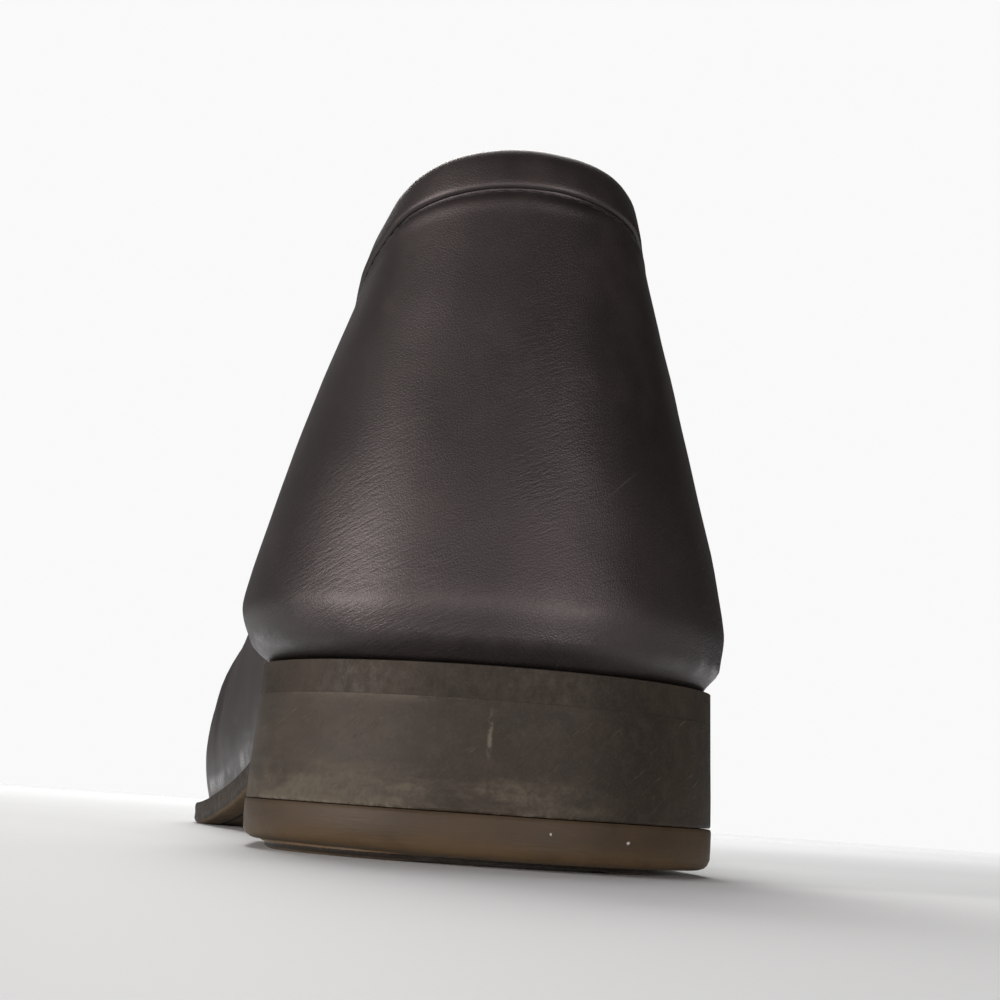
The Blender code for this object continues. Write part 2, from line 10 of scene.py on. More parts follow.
import bmesh
import bpy
import numpy as np
from mathutils import Matrix, Vector, noise
from mathutils.bvhtree import BVHTree
from mathutils.geometry import delaunay_2d_cdt


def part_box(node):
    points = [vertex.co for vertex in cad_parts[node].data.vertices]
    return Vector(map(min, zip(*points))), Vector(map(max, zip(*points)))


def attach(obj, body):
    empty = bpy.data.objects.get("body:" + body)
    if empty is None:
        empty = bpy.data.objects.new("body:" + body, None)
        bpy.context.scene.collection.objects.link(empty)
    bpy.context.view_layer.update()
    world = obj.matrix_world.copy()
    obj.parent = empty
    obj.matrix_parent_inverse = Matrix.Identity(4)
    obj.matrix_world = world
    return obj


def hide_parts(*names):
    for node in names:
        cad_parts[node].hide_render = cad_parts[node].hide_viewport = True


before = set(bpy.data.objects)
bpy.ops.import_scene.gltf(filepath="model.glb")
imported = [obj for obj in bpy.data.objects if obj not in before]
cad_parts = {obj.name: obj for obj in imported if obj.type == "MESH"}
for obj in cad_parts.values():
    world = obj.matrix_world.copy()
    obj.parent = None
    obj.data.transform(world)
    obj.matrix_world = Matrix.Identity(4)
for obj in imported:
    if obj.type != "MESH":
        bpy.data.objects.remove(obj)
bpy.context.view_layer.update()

MM = 0.001
LATERAL, MEDIAL = -1, 1     # sides, as the sign of X

# Sizes of the CAD model
TOE_Y, TOE_X = 299.0, 6.0
HEEL_BACK_Y, HEEL_CENTRE_Y = 0.5, 34.0
HEEL_HALF_WIDTH = 33.0
BALL_LATERAL = (192.0, 49.5, 2.15)      # start of the rounded toe: Y, half width, roundness
BALL_MEDIAL = (215.0, 47.0, 2.2)
COLLAR_RISE_Y, THROAT_Y = 118.0, 146.0
TOE_FAN_Y, RIDGE_END_Y = 225.0, 262.0
SOLE_THICKNESS = 5.0
GAP = 0.3
LIFT_BOTTOM, LIFT_TOP = 1.0, 7.0
BREAST_LATERAL_Y, BREAST_MEDIAL_Y = 68.5, 71.5
BREAST_HOLLOW, BREAST_CORNER = 1.5, 6.0
CORNER_ACROSS, CORNER_ALONG = 0.3, 0.72     # a point on that corner, as shares of it
HEEL_TOP_EDGE, HEEL_BASE_EDGE = 0.6, 1.5
HEEL_SLANT = 0.052          # of its sides, by height
TAP_THICKNESS = 1.9
TAP_CENTRE = (-2.4, 31.6)
TAP_TURN = math.radians(-19.6)
NAIL_HOLE_RADIUS = 2.0
NAIL_PLACES = ((0.0, -17.0), (-21.2, 0.0), (21.2, 0.0))
TONGUE_BACK_Y, TONGUE_FRONT_Y = 126.0, 164.0
TONGUE_SHARE, TONGUE_ROUNDING, TONGUE_SAG = 0.64, 15.0, 9.0
TONGUE_ARCH_Y, TONGUE_VAMP_Y = 140.0, 152.0
TONGUE_THICKNESS, TONGUE_DEPTH = 1.8, 3.2
LACE_DIAMETER, LACE_CLEARANCE = 3.0, 0.6
LACE_BAR = ((1.0, 137.5), (0.68, 144.0), (0.34, 149.5), (0.0, 153.4))
SLIT_SHARE, BAR_END_OFFSET = 0.70, 5.2
LACE_END = ((2.0, 157.9), (4.4, 161.4), (6.7, 165.0), (8.2, 167.9))
KNOT_Y = 154.0
TASSEL_START, TASSEL_TIP = (8.6, 168.8), (14.5, 202.5)
TASSEL_CLEARANCE = 0.5

# Sizes of the finish
LEATHER = 1.3               # outer leather of the wall
LINING_DEPTH, LINING = 1.5, 0.65
COLLAR_GROOVE = 6.0         # below the top line
TUCK, TUCK_RUN = 0.9, (0.2, 3.2)            # the heel's lower edge is drawn in, less and less up this run
SEAT, SEAT_RUN = GAP - 0.03, (0.0, 2.5)     # the lower edge is pressed down on the sole in the same way
STITCH, STITCH_GAP = 1.9, 0.5
COLLAR_THREAD, APRON_THREAD, QUARTER_THREAD = 0.18, 0.34, 0.24      # radius of the stitches
QUARTER_ROWS = (2.0, 3.8)   # distance of the double row behind the front edge of the quarter
SHARP = 38                  # degrees between faces of sole and heel that meet in an edge

# The tongue's leather: lower and thinner than the CAD model's, wavy at its back, with a soft rim
TONGUE_LOWERED, TONGUE_THINNED, TONGUE_WAVE, TONGUE_RIM = 0.5, 0.3, 0.5, 0.45

# Rows of the wall's mesh: at the feather edge, below the apron's seam, at it, and above it
UPPER_ROWS, LINING_ROWS = (15, 16, 21, 13), (7, 12, 6, 8)
FOOT_BAND, SEAM_BAND = 12.0, 4.0    # the rows lie close up to this run, and this near to the seam
TOP_BAND = 3.0                      # at least this much is left above the seam's rows
BELT_ROW = 14                       # the row that the distance round the shoe is measured on
TOPLINE_STEP = 0.8                  # between points of the binding

# Ridges and grooves of the leather: height, place and width
ROLL_LIP = (0.30, 2.9, 1.1)                                             # up the wall, above the heel's edge
COLLAR_PROFILE = ((0.16, 7.5, 0.8), (-0.40, COLLAR_GROOVE, 0.45))       # below the top line
SEAM_LIP = (0.85, -1.15, 0.8)                                           # from the apron's seam inwards
SEAM_INSIDE = ((-0.55, 0.25, 0.42), (0.35, 1.7, 0.9))
SEAM_PUCKER, PUCKER_STEP = 0.10, 6.4
SEAM_RUNOUT, SEAM_UNSTITCHED = 5.0, 4.0     # from its back end
SEAM_THREAD = 0.2                           # distance of its thread inwards
CREASE_PROFILE = ((-1.0, 0.0, 1.0), (0.55, 2.1, 1.1), (0.45, -2.1, 1.1))    # shares of depth and width
FOLD_PROFILE = ((-1.0, 0.0, 1.0), (0.5, 2.2, 1.2), (0.4, -2.0, 1.1))
QUARTER_STEP = 0.5          # the quarter stands proud of the vamp

# Slow unevenness of the leather: height, and waves per millimetre
WAVES, RIPPLES = (0.45, 0.045), (0.10, 0.16)

# Where such features set in, or fade out if the name says gone: by station, by run up the wall
# or by distance from the seam
CREASED_Y, FOLDED_Y, QUARTER_SEEN_Y = (147, 158), (140, 160), (60, 96)
ROLL_GONE_Y, TUCK_GONE_Y, COLLAR_GONE_Y = (40, 75), (60, 95), (112, 126)
CREASED_SEAM, FOLD_GONE_SEAM = (-26, -8), (-9, -2)
SEAM_RUN, QUARTER_RUN, WAVES_RUN = (4, 10), (2, 5), (3, 12)


class Smooth:
    """A monotone cubic through the points of a table, level beyond its ends."""

    def __init__(self, xs, ys):
        self.xs, self.ys = np.asarray(xs, float), np.asarray(ys, float)
        steps = np.diff(self.ys) / np.diff(self.xs)
        self.slopes = np.zeros(len(self.xs))
        self.slopes[0], self.slopes[-1] = steps[0], steps[-1]
        for k in range(1, len(self.xs) - 1):
            before, after = steps[k - 1], steps[k]
            if before * after > 0:
                self.slopes[k] = 2 * before * after / (before + after)

    def __call__(self, x):
        x = min(max(x, self.xs[0]), self.xs[-1])
        k = min(int(np.searchsorted(self.xs, x, side="right")) - 1, len(self.xs) - 2)
        width = self.xs[k + 1] - self.xs[k]
        t = (x - self.xs[k]) / width
        return float(
            (2 * t**3 - 3 * t**2 + 1) * self.ys[k]
            + (t**3 - 2 * t**2 + t) * width * self.slopes[k]
            + (3 * t**2 - 2 * t**3) * self.ys[k + 1]
            + (t**3 - t**2) * width * self.slopes[k + 1]
        )


def columns(names, rows):
    """Each named column of a table as a smooth function of its first column."""
    data = np.array(rows, float)
    return {name: Smooth(data[:, 0], data[:, k + 1]) for k, name in enumerate(names)}


FEATHER = columns(
    ("lateral", "medial"),
    (
        (20, 33.0, 33.0),
        (34, 33.0, 33.0),
        (60, 32.6, 31.2),
        (90, 33.0, 25.8),
        (115, 35.5, 23.8),
        (140, 40.2, 27.2),
        (165, 45.4, 35.2),
        (192, 49.5, 43.6),
        (215, 49.5, 47.0),
        (235, 49.5, 47.0),
    ),
)
LAST = columns(
    ("axis_x", "swell_lateral", "swell_medial", "widest", "ridge", "across", "up"),
    (
        (0, -2.6, 2.8, 2.8, 8.0, 226, 1.00, 1.20),
        (8, -2.6, 3.4, 2.6, 8.0, 187, 1.00, 1.20),
        (20, -2.6, 4.0, 2.2, 8.0, 153, 1.00, 1.20),
        (34, -2.6, 4.2, 1.8, 8.0, 142, 1.00, 1.20),
        (60, -1.8, 3.4, 1.6, 9.0, 136, 1.10, 1.30),
        (90, -1.0, 2.0, 1.6, 11.0, 122, 1.35, 1.65),
        (120, 0.2, 1.6, 1.6, 12.0, 98, 1.75, 2.00),
        (146, 1.0, 1.6, 1.6, 12.0, 85.5, 2.00, 2.00),
        (190, 4.0, 1.6, 1.6, 10.0, 66.0, 2.05, 2.05),
        (225, 5.5, 1.4, 1.4, 9.0, 53.5, 2.15, 2.15),
        (262, 6.5, 1.2, 1.2, 8.5, 43.0, 2.25, 2.30),
    ),
)
TOPLINE = columns(
    ("lateral", "medial"),
    (
        (0.5, 100.3, 100.3),
        (8, 98.0, 98.6),
        (20, 93.6, 95.0),
        (34, 88.4, 90.2),
        (60, 77.2, 79.6),
        (85, 70.2, 73.2),
        (105, 69.2, 72.4),
        (120, 72.2, 75.0),
        (134, 78.8, 80.4),
        (146, 85.5, 85.5),
    ),
)
SOLE = columns(
    ("bottom", "edge"),
    (
        (0, 22.0, 0.6),
        (72, 22.0, 0.6),
        (100, 15.0, 1.2),
        (140, 5.2, 2.2),
        (170, 0.9, 3.0),
        (185, 0.0, 3.2),
        (232, 0.0, 3.2),
        (262, 2.6, 3.2),
        (302, 10.5, 3.2),
    ),
)
TAP_HALF = (
    (0, -27.5),
    (13, -24.8),
    (22, -18.2),
    (27.6, -8.0),
    (27.6, 1.2),
    (21.5, 6.2),
    (12, 3.2),
    (0, -0.5),
)

# The apron's seam over the vamp: share of the half width, by station, then a rounded end at the toe
APRON = Smooth((124, 150, 190, 225), (0.64, 0.635, 0.615, 0.585))
APRON_BACK_Y, APRON_TIP_Y, APRON_ROUNDNESS = 128.0, 283.0, 2.25
BEYOND_TOP = 20.0           # where a column has no seam it counts as this far above its top

# Creases across the vamp: middle, sweep of the ends back, lateral and medial end, depth, width
CREASES = (
    (170.0, 9.0, -37, 31, 0.55, 2.4),
    (179.5, 8.0, -42, 40, 0.95, 2.8),
    (188.0, 6.0, -44, 42, 0.80, 2.6),
    (197.5, 3.5, -40, 43, 0.95, 3.0),
    (206.0, 1.0, -24, 40, 0.50, 2.4),
)
CREASE_SWEPT = 36.0                     # offset from the middle line where the sweep is reached
CREASE_WAVER, CREASE_WAVER_RUN = 1.2, 7.0
CREASE_RUNOUT = 14.0                    # length of its ends

# Folds down the walls below the creases: side, place at the fold level, lean, lowest point, depth, width
SIDE_FOLDS = (
    (LATERAL, 163.0, 0.55, 26.0, 0.34, 3.4),
    (LATERAL, 175.0, 0.30, 14.0, 0.62, 3.0),
    (LATERAL, 187.5, -0.10, 20.0, 0.40, 2.6),
    (MEDIAL, 173.0, 0.45, 22.0, 0.36, 3.2),
    (MEDIAL, 186.0, 0.20, 13.0, 0.60, 3.0),
    (MEDIAL, 199.0, -0.15, 18.0, 0.34, 2.8),
)
FOLD_LEVEL, FOLD_WIDENING = 30.0, 0.03  # height, and share by which a fold is wider per millimetre up
FOLD_WAVER, FOLD_WAVER_RUN = 0.9, 5.0
FOLD_RUNOUT = 16.0

# Front edge of the quarter: its place at a height, its lean, and how far it swings forward further up
QUARTER_FRONT_Y, QUARTER_LEVEL, QUARTER_LEAN = 97.0, 20.0, 0.34
QUARTER_SWING, QUARTER_SWING_Z = 5.0, (50, 78)
QUARTER_STITCHED_Z = (18, 66)           # heights between which it is stitched
QUARTER_MARGINS = (2.0, 7.0)            # left free of stitches above the feather edge and below the top line

lift_low, lift_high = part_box("top_lift")
SHIFT = np.array(
    (
        (lift_low.x + lift_high.x) / 2 / MM,
        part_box("outsole")[1].y / MM - TOE_Y - SOLE["edge"](TOE_Y),
        0.0,
    )
)


def to_row(points):
    """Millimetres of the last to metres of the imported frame."""
    return (np.asarray(points, float) + SHIFT) * MM


# The last

def side_name(side):
    return "lateral" if side < 0 else "medial"


def feather_z(y):
    return SOLE["bottom"](y) + SOLE_THICKNESS


def feather(y, side):
    """Plan point of the upper's lower edge."""
    start, half_width, roundness = BALL_LATERAL if side < 0 else BALL_MEDIAL
    if y < HEEL_CENTRE_Y:
        along = (HEEL_CENTRE_Y - y) / (HEEL_CENTRE_Y - HEEL_BACK_Y)
        x = side * HEEL_HALF_WIDTH * math.sqrt(max(0.0, 1 - along**2))
    elif y > start:
        along = min(1.0, (y - start) / (TOE_Y - start))
        reach = half_width - side * TOE_X
        x = TOE_X + side * reach * (1 - along**roundness) ** (1 / roundness)
    else:
        x = side * FEATHER[side_name(side)](y)
    return np.array((x, y))


def axis_y(y):
    """Where the section of a station meets the middle line: it swings round at heel and toe."""
    if y <= TOE_FAN_Y:
        return max(y, HEEL_CENTRE_Y)
    turn = math.asin(min(1.0, (y - TOE_FAN_Y) / (TOE_Y - TOE_FAN_Y)))
    return TOE_FAN_Y + (RIDGE_END_Y - TOE_FAN_Y) * turn / (math.pi / 2)


def section(y, side):
    """The sizes of the last at a station: its spine, its reach to the side, and its heights."""
    spine_y = axis_y(y)
    along = spine_y if y > TOE_FAN_Y else y
    spine = np.array((LAST["axis_x"](spine_y), spine_y))
    reach = feather(y, side) - spine
    widest_z = feather_z(y) + LAST["widest"](y)
    return {
        "spine": spine,
        "reach": reach,
        "swell": 1 + LAST["swell_" + side_name(side)](y) / float(np.hypot(*reach)),
        "widest": LAST["widest"](y),
        "widest_z": widest_z,
        "rise": LAST["ridge"](along) - widest_z,
        "across": LAST["across"](along),
        "up": LAST["up"](along),
    }


def top_angle(y, side, s):
    """How far up the section the leather reaches: a quarter turn where it closes over the foot."""
    if y >= THROAT_Y:
        return math.pi / 2
    share = (TOPLINE[side_name(side)](y) - s["widest_z"]) / s["rise"]
    return math.asin(min(1.0, share ** (s["up"] / 2)))


def wall(y, side, levels):
    """Points up the outside at a station. Level -1 is the feather edge, 0 the widest line, 1 the top."""
    s = section(y, side)
    levels = np.asarray(levels, float)
    low = np.minimum(levels, 0)
    angle = np.maximum(levels, 0) * top_angle(y, side, s)
    inward = np.maximum(0, np.cos(angle)) ** (2 / s["across"])
    share = np.where(levels <= 0, s["swell"] - (s["swell"] - 1) * low**2, s["swell"] * inward)
    z = s["widest_z"] + s["widest"] * low + s["rise"] * np.sin(angle) ** (2 / s["up"])
    if y > TOE_FAN_Y:
        ridge = LAST["ridge"]
        slope = (ridge(RIDGE_END_Y) - ridge(TOE_FAN_Y)) / (RIDGE_END_Y - TOE_FAN_Y)
        z = z + np.where(levels > 0, slope * s["reach"][1] * inward * (1 - inward), 0)
    plan = s["spine"] + s["reach"] * share[:, None]
    return np.column_stack((plan, z))


def half_width(y, side):
    s = section(y, side)
    return abs(s["reach"][0]) * s["swell"]


def vamp_z(offset, y):
    """Height of the vamp over a plan point, given as an offset from the middle line."""
    side = MEDIAL if offset > 0 else LATERAL
    s = section(y, side)
    inward = min(1.0, abs(offset) / (abs(s["reach"][0]) * s["swell"]))
    return s["widest_z"] + s["rise"] * (1 - inward ** s["across"]) ** (1 / s["up"])


def on_vamp(offset, y, lift):
    """A point this far above the vamp, along its normal."""
    step = 0.5
    slope_x = (vamp_z(offset + step, y) - vamp_z(offset - step, y)) / (2 * step)
    slope_y = (vamp_z(offset, y + step) - vamp_z(offset, y - step)) / (2 * step)
    normal = np.array((-slope_x, -slope_y, 1.0))
    base = np.array((LAST["axis_x"](y) + offset, y, vamp_z(offset, y)))
    return base + normal / np.linalg.norm(normal) * lift


def heel_stations(steps):
    turns = np.linspace(0, math.pi / 2, steps + 1)
    return list(HEEL_CENTRE_Y - (HEEL_CENTRE_Y - HEEL_BACK_Y) * np.cos(turns))


def stations(heel=36, quarter=66, throat=30, vamp=58, toe=44):
    """Places along the foot, closer together round the heel, the throat and the toe."""
    closing = THROAT_Y - (THROAT_Y - COLLAR_RISE_Y) * (1 - np.arange(throat) / throat) ** 1.6
    tip = TOE_FAN_Y + (TOE_Y - TOE_FAN_Y) * np.sin(np.linspace(0, math.pi / 2, toe + 1))
    return [
        *heel_stations(heel)[:-1],
        *np.linspace(HEEL_CENTRE_Y, COLLAR_RISE_Y, quarter, endpoint=False),
        *closing,
        *np.linspace(THROAT_Y, TOE_FAN_Y, vamp, endpoint=False),
        *tip,
    ]


def ring_stations(places):
    """Stations once round the shoe: back of the heel, lateral side, toe, medial side."""
    return [(y, LATERAL) for y in places] + [(y, MEDIAL) for y in reversed(places[1:-1])]


def offset_loop(points, distances):
    """A closed plan loop moved outwards by a distance at each point."""
    points = np.array(points)
    tangents = np.roll(points, -1, axis=0) - np.roll(points, 1, axis=0)
    normals = np.stack((-tangents[:, 1], tangents[:, 0]), axis=1)
    normals /= np.linalg.norm(normals, axis=1)[:, None]
    return points + normals * np.array(distances)[:, None]


def spline(points, closed, steps):
    """Points along a smooth curve through a few given ones."""
    points = [np.array(p, float) for p in points]
    count = len(points)
    found = []
    for k in range(count if closed else count - 1):
        if closed:
            before, here, after, beyond = (points[(k + i) % count] for i in (-1, 0, 1, 2))
        else:
            here, after = points[k], points[k + 1]
            before = points[k - 1] if k else 2 * here - after
            beyond = points[k + 2] if k + 2 < count else 2 * after - here
        for t in np.arange(steps) / steps:
            found.append(
                0.5 * (
                    2 * here
                    + (after - before) * t
                    + (2 * before - 5 * here + 4 * after - beyond) * t**2
                    + (3 * here - before - 3 * after + beyond) * t**3
                )
            )
    return found if closed else found + [points[-1]]


def bell(t):
    return np.exp(-0.5 * np.square(t))


def fade(value, start, end):
    """Smooth step from 0 at start to 1 at end."""
    t = np.clip((np.asarray(value, float) - start) / (end - start), 0, 1)
    return t * t * (3 - 2 * t)


# Materials

class Nodes:
    """The nodes of a material or of the surroundings."""

    def __init__(self, owner, coords):
        owner.use_nodes = True
        self.tree = owner.node_tree
        self.coords = self.tree.nodes.new("ShaderNodeTexCoord").outputs[coords]

    def node(self, kind, inputs, output, **settings):
        """A node with its inputs set or linked; gives one of its outputs."""
        made = self.tree.nodes.new("ShaderNode" + kind)
        for name, value in settings.items():
            setattr(made, name, value)
        for socket, value in inputs.items():
            self.feed(made.inputs[socket], value)
        return made.outputs[output]

    def feed(self, socket, value):
        if isinstance(value, bpy.types.NodeSocket):
            self.tree.links.new(value, socket)
        else:
            socket.default_value = value

    def place(self, scale=(1, 1, 1), turn=(0, 0, 0), source=None):
        """Coordinates turned, then stretched."""
        turned = self.node("Mapping", {"Vector": source or self.coords, "Rotation": turn}, "Vector")
        return self.node("Mapping", {"Vector": turned, "Scale": scale}, "Vector")

    def surface(self):
        """Distance round the shoe and up its wall."""
        return self.node("UVMap", {}, "UV", uv_map="surface")

    def axis(self, name, source=None):
        return self.node("SeparateXYZ", {"Vector": source or self.coords}, name)

    def noise(self, scale, detail=3.0, roughness=0.55, vector=None):
        inputs = {"Vector": vector or self.coords, "Scale": scale, "Detail": detail, "Roughness": roughness}
        return self.node("TexNoise", inputs, 0)

    def cells(self, scale, feature="DISTANCE_TO_EDGE", vector=None):
        inputs = {"Vector": vector or self.coords, "Scale": scale}
        return self.node("TexVoronoi", inputs, "Distance", feature=feature)

    def math(self, operation, first, second=0.0):
        return self.node("Math", {0: first, 1: second}, 0, operation=operation)

    def times(self, first, *others):
        for other in others:
            first = self.math("MULTIPLY", first, other)
        return first

    def plus(self, first, *others):
        for other in others:
            first = self.math("ADD", first, other)
        return first

    def band(self, value, low, high, start=0.0, end=1.0):
        """Maps low..high smoothly to start..end."""
        inputs = {"Value": value, "From Min": low, "From Max": high, "To Min": start, "To Max": end}
        return self.node("MapRange", inputs, "Result", interpolation_type="SMOOTHSTEP")

    def within(self, value, low, high, soft):
        """1 between low and high, with soft edges."""
        above = self.band(value, low - soft, low + soft)
        return self.times(above, self.band(value, high - soft, high + soft, 1, 0))

    def mix(self, factor, first, second):
        """From the first colour to the second."""
        return self.node("Mix", {0: factor, 6: first, 7: second}, 2, data_type="RGBA")

    def distance(self, vector, point):
        return self.node("VectorMath", {0: vector, 1: point}, "Value", operation="DISTANCE")


class Paint(Nodes):
    """One procedural material: a Principled shader and the nodes that feed it."""

    def __init__(self, name, **constants):
        self.material = bpy.data.materials.new(name)
        super().__init__(self.material, "Object")
        self.shader = self.tree.nodes["Principled BSDF"]
        for socket, value in constants.items():
            self.shader.inputs[socket.replace("_", " ").title().replace("Ior", "IOR")].default_value = value

    def bump(self, height, distance, under=None):
        """Relief of this height in metres, on top of another."""
        inputs = {"Height": height, "Distance": distance, "Strength": 1.0}
        if under:
            inputs["Normal"] = under
        return self.node("Bump", inputs, "Normal")

    def finish(self, colour, roughness, normal):
        self.feed(self.shader.inputs["Base Color"], colour)
        self.feed(self.shader.inputs["Roughness"], roughness)
        self.feed(self.shader.inputs["Normal"], normal)
        return self.material


def grey(value, red=1.0, blue=1.0):
    return (value * red, value, value * blue, 1)


def calf_material(name, wall_marks):
    """Black calf: fine grain, patches of dust, thin scratches. The wall has wrinkles and a rubbed roll too.
    """
    p = Paint(name, specular_tint=(1.0, 0.90, 0.90, 1), coat_weight=0.04, coat_roughness=0.30)
    grain = p.band(p.cells(2300), 0.0, 0.25)
    pores = p.noise(5200, 2)
    patches = p.noise(26, 4)
    smears = p.noise(95, 5, 0.6)
    hair = p.noise(1, 2, 0.5, p.place((34, 34, 2600), (0.5, 0.9, 0.3)))
    scratch = p.times(p.band(hair, 0.735, 0.765), p.band(patches, 0.48, 0.60))
    normal = p.bump(grain, 0.000013)
    normal = p.bump(pores, 0.000012, normal)
    roughness = p.plus(p.band(patches, 0.3, 0.7, 0.36, 0.43), p.times(smears, 0.10), p.times(scratch, 0.2))
    if wall_marks:
        uv = p.surface()
        up = p.axis("Y", uv)
        streaks = p.noise(1, 3, 0.6, p.place((300, 2100, 1), (0, 0, math.radians(-24)), uv))
        low = p.band(up, 0.016, 0.060, 1, 0.25)
        where = p.times(low, p.band(p.noise(34, 3, 0.5, uv), 0.36, 0.62))
        normal = p.bump(p.times(streaks, where), 0.00008, normal)
        rubbed = p.times(p.within(up, 0.0018, 0.0048, 0.0012), p.band(p.noise(160, 4, 0.6), 0.40, 0.60))
        roughness = p.plus(roughness, p.times(rubbed, -0.20))
    colour = p.mix(p.band(patches, 0.35, 0.7), grey(0.0088, 1.22, 1.02), grey(0.0140, 1.25, 1.0))
    colour = p.mix(p.times(p.band(smears, 0.5, 0.74), 0.35), colour, grey(0.025, 1.22, 0.94))
    colour = p.mix(p.times(scratch, 0.28), colour, grey(0.12, 1.05, 0.9))
    return p.finish(colour, roughness, normal)


def edge_leather_colour(p):
    """Dark waxed leather edge, matt and cloudy, with a thin line of painted shade where the sole meets the
    heel block: its colour, its cloud and its relief.
    """
    cloud = p.noise(60, 5, 0.62)
    mottle = p.noise(420, 5, 0.7)
    fibres = p.noise(1, 4, 0.6, p.place((260, 260, 1300)))
    colour = p.mix(p.band(cloud, 0.3, 0.7), grey(0.0125, 1.34, 0.70), grey(0.0205, 1.36, 0.68))
    colour = p.mix(p.band(mottle, 0.42, 0.72, 0, 0.35), colour, grey(0.040, 1.30, 0.68))
    grit = p.noise(2300, 4, 0.7)
    colour = p.mix(p.band(grit, 0.45, 0.75, 0, 0.20), colour, grey(0.065, 1.26, 0.70))
    # A thin dark line at the joint of the sole's edge and the heel block: painted shade of that closed joint,
    # broken up by the mottle.
    over_heel = p.band(p.axis("Y"), -0.082, -0.078, 1, 0)
    joint_shade = p.times(p.within(p.axis("Z"), 0.02195, 0.02205, 0.00012), over_heel)
    colour = p.mix(p.times(joint_shade, p.band(mottle, 0.3, 0.6, 0.05, 0.4)), colour, grey(0.010, 1.2, 0.85))
    normal = p.bump(mottle, 0.00005)
    normal = p.bump(grit, 0.00002, normal)
    return colour, cloud, p.bump(fibres, 0.00001, normal)


def edge_leather_material(name):
    """Heel block: waxed leather, paler on its lateral side from dust and painted light, chafed along its
    lower seam, with a long scar.
    """
    p = Paint(name, specular_ior_level=0.24)
    z, x = p.axis("Z"), p.axis("X")
    colour, cloud, normal = edge_leather_colour(p)
    rub = p.noise(150, 6, 0.68, p.place((0.40, 0.40, 1.4)))
    fine = p.noise(900, 4, 0.7)
    # Paler towards the lateral side: partly dust, partly painted light falling from that side.
    dust_and_painted_light = p.times(p.band(x, -0.032, 0.006, 1, 0), p.band(rub, 0.36, 0.64, 0.45, 1))
    colour = p.mix(p.times(dust_and_painted_light, 0.42), colour, grey(0.060, 1.18, 0.78))
    left = p.band(x, 0.004, 0.026, 1.0, 0.10)
    edge = p.plus(z, p.times(rub, -0.0100), p.times(fine, -0.0016))
    seam = p.band(edge, 0.0020, 0.0075, 1, 0)
    chafed = p.times(seam, p.band(rub, 0.38, 0.62), left, p.band(fine, 0.30, 0.62, 0.35, 1))
    colour = p.mix(p.times(chafed, 0.70), colour, grey(0.092, 1.17, 0.74))
    rim = p.times(p.band(z, 0.0070, 0.0077, 1, 0), p.band(fine, 0.46, 0.64), p.band(rub, 0.44, 0.56), left)
    colour = p.mix(p.times(rim, 0.55), colour, grey(0.16, 1.15, 0.76))
    top = p.times(p.band(z, 0.0206, 0.0222), p.band(rub, 0.44, 0.60), p.band(x, -0.012, 0.006, 1, 0.1))
    colour = p.mix(p.times(top, 0.35), colour, grey(0.10, 1.15, 0.76))
    hairs = p.noise(1, 3, 0.6, p.place((210, 210, 2100), (0.0, 0.75, 0)))
    hair = p.times(p.band(hairs, 0.60, 0.72), p.band(cloud, 0.40, 0.60, 0.2, 1))
    colour = p.mix(p.times(hair, 0.30), colour, grey(0.12, 1.14, 0.76))
    scar = p.times(
        p.within(p.plus(x, p.times(rub, 0.0012)), 0.00010, 0.00042, 0.00035),
        p.within(z, 0.0150, 0.0200, 0.0016),
        p.band(fine, 0.36, 0.58),
    )
    colour = p.mix(p.times(scar, 0.65), colour, grey(0.19, 1.12, 0.74))
    normal = p.bump(rub, 0.00012, normal)
    normal = p.bump(p.plus(hair, scar), -0.00006, normal)
    roughness = p.plus(p.band(cloud, 0.3, 0.7, 0.54, 0.64), p.times(chafed, 0.2))
    return p.finish(colour, roughness, normal)


def sole_material(name):
    """Outsole: waxed dark edge, brown worn leather underneath."""
    p = Paint(name, specular_ior_level=0.24)
    facing = p.axis("Z", p.node("NewGeometry", {}, "Normal"))
    under = p.band(facing, -0.9, -0.6, 1, 0)
    y = p.axis("Y")
    edge, cloud, normal = edge_leather_colour(p)
    fibres = p.noise(1, 6, 0.72, p.place((900, 380, 600)))
    strokes = p.noise(1, 4, 0.6, p.place((900, 60, 400), (0, 0, 0.12)))
    tread = p.times(p.within(y, 0.030, 0.085, 0.022), p.band(cloud, 0.22, 0.78))
    bottom = p.mix(p.band(cloud, 0.25, 0.75), grey(0.058, 1.55, 0.53), grey(0.084, 1.50, 0.54))
    bottom = p.mix(p.band(fibres, 0.40, 0.75, 0, 0.4), bottom, grey(0.125, 1.40, 0.60))
    bottom = p.mix(p.times(tread, 0.7), bottom, grey(0.15, 1.30, 0.64))
    bottom = p.mix(p.band(strokes, 0.58, 0.74, 0, 0.5), bottom, grey(0.030, 1.4, 0.6))
    colour = p.mix(under, edge, bottom)
    normal = p.bump(p.times(p.plus(fibres, strokes), under), 0.00018, normal)
    return p.finish(colour, p.band(fibres, 0.3, 0.7, 0.52, 0.74), normal)


# Middle of the painted shadow that the proud tap casts on the heel's underside:
TAP_SHADOW_MIDDLE = (0.04, -6.32, 0.0)    # of the heel's underside, in the units its pattern is stretched to

# Pale specks on the back of the lift: place seen from the back and radius, in metres
SPECKS = (((0.0085, 0, 0.0050), 0.00016), ((0.0195, 0, 0.0045), 0.00026))


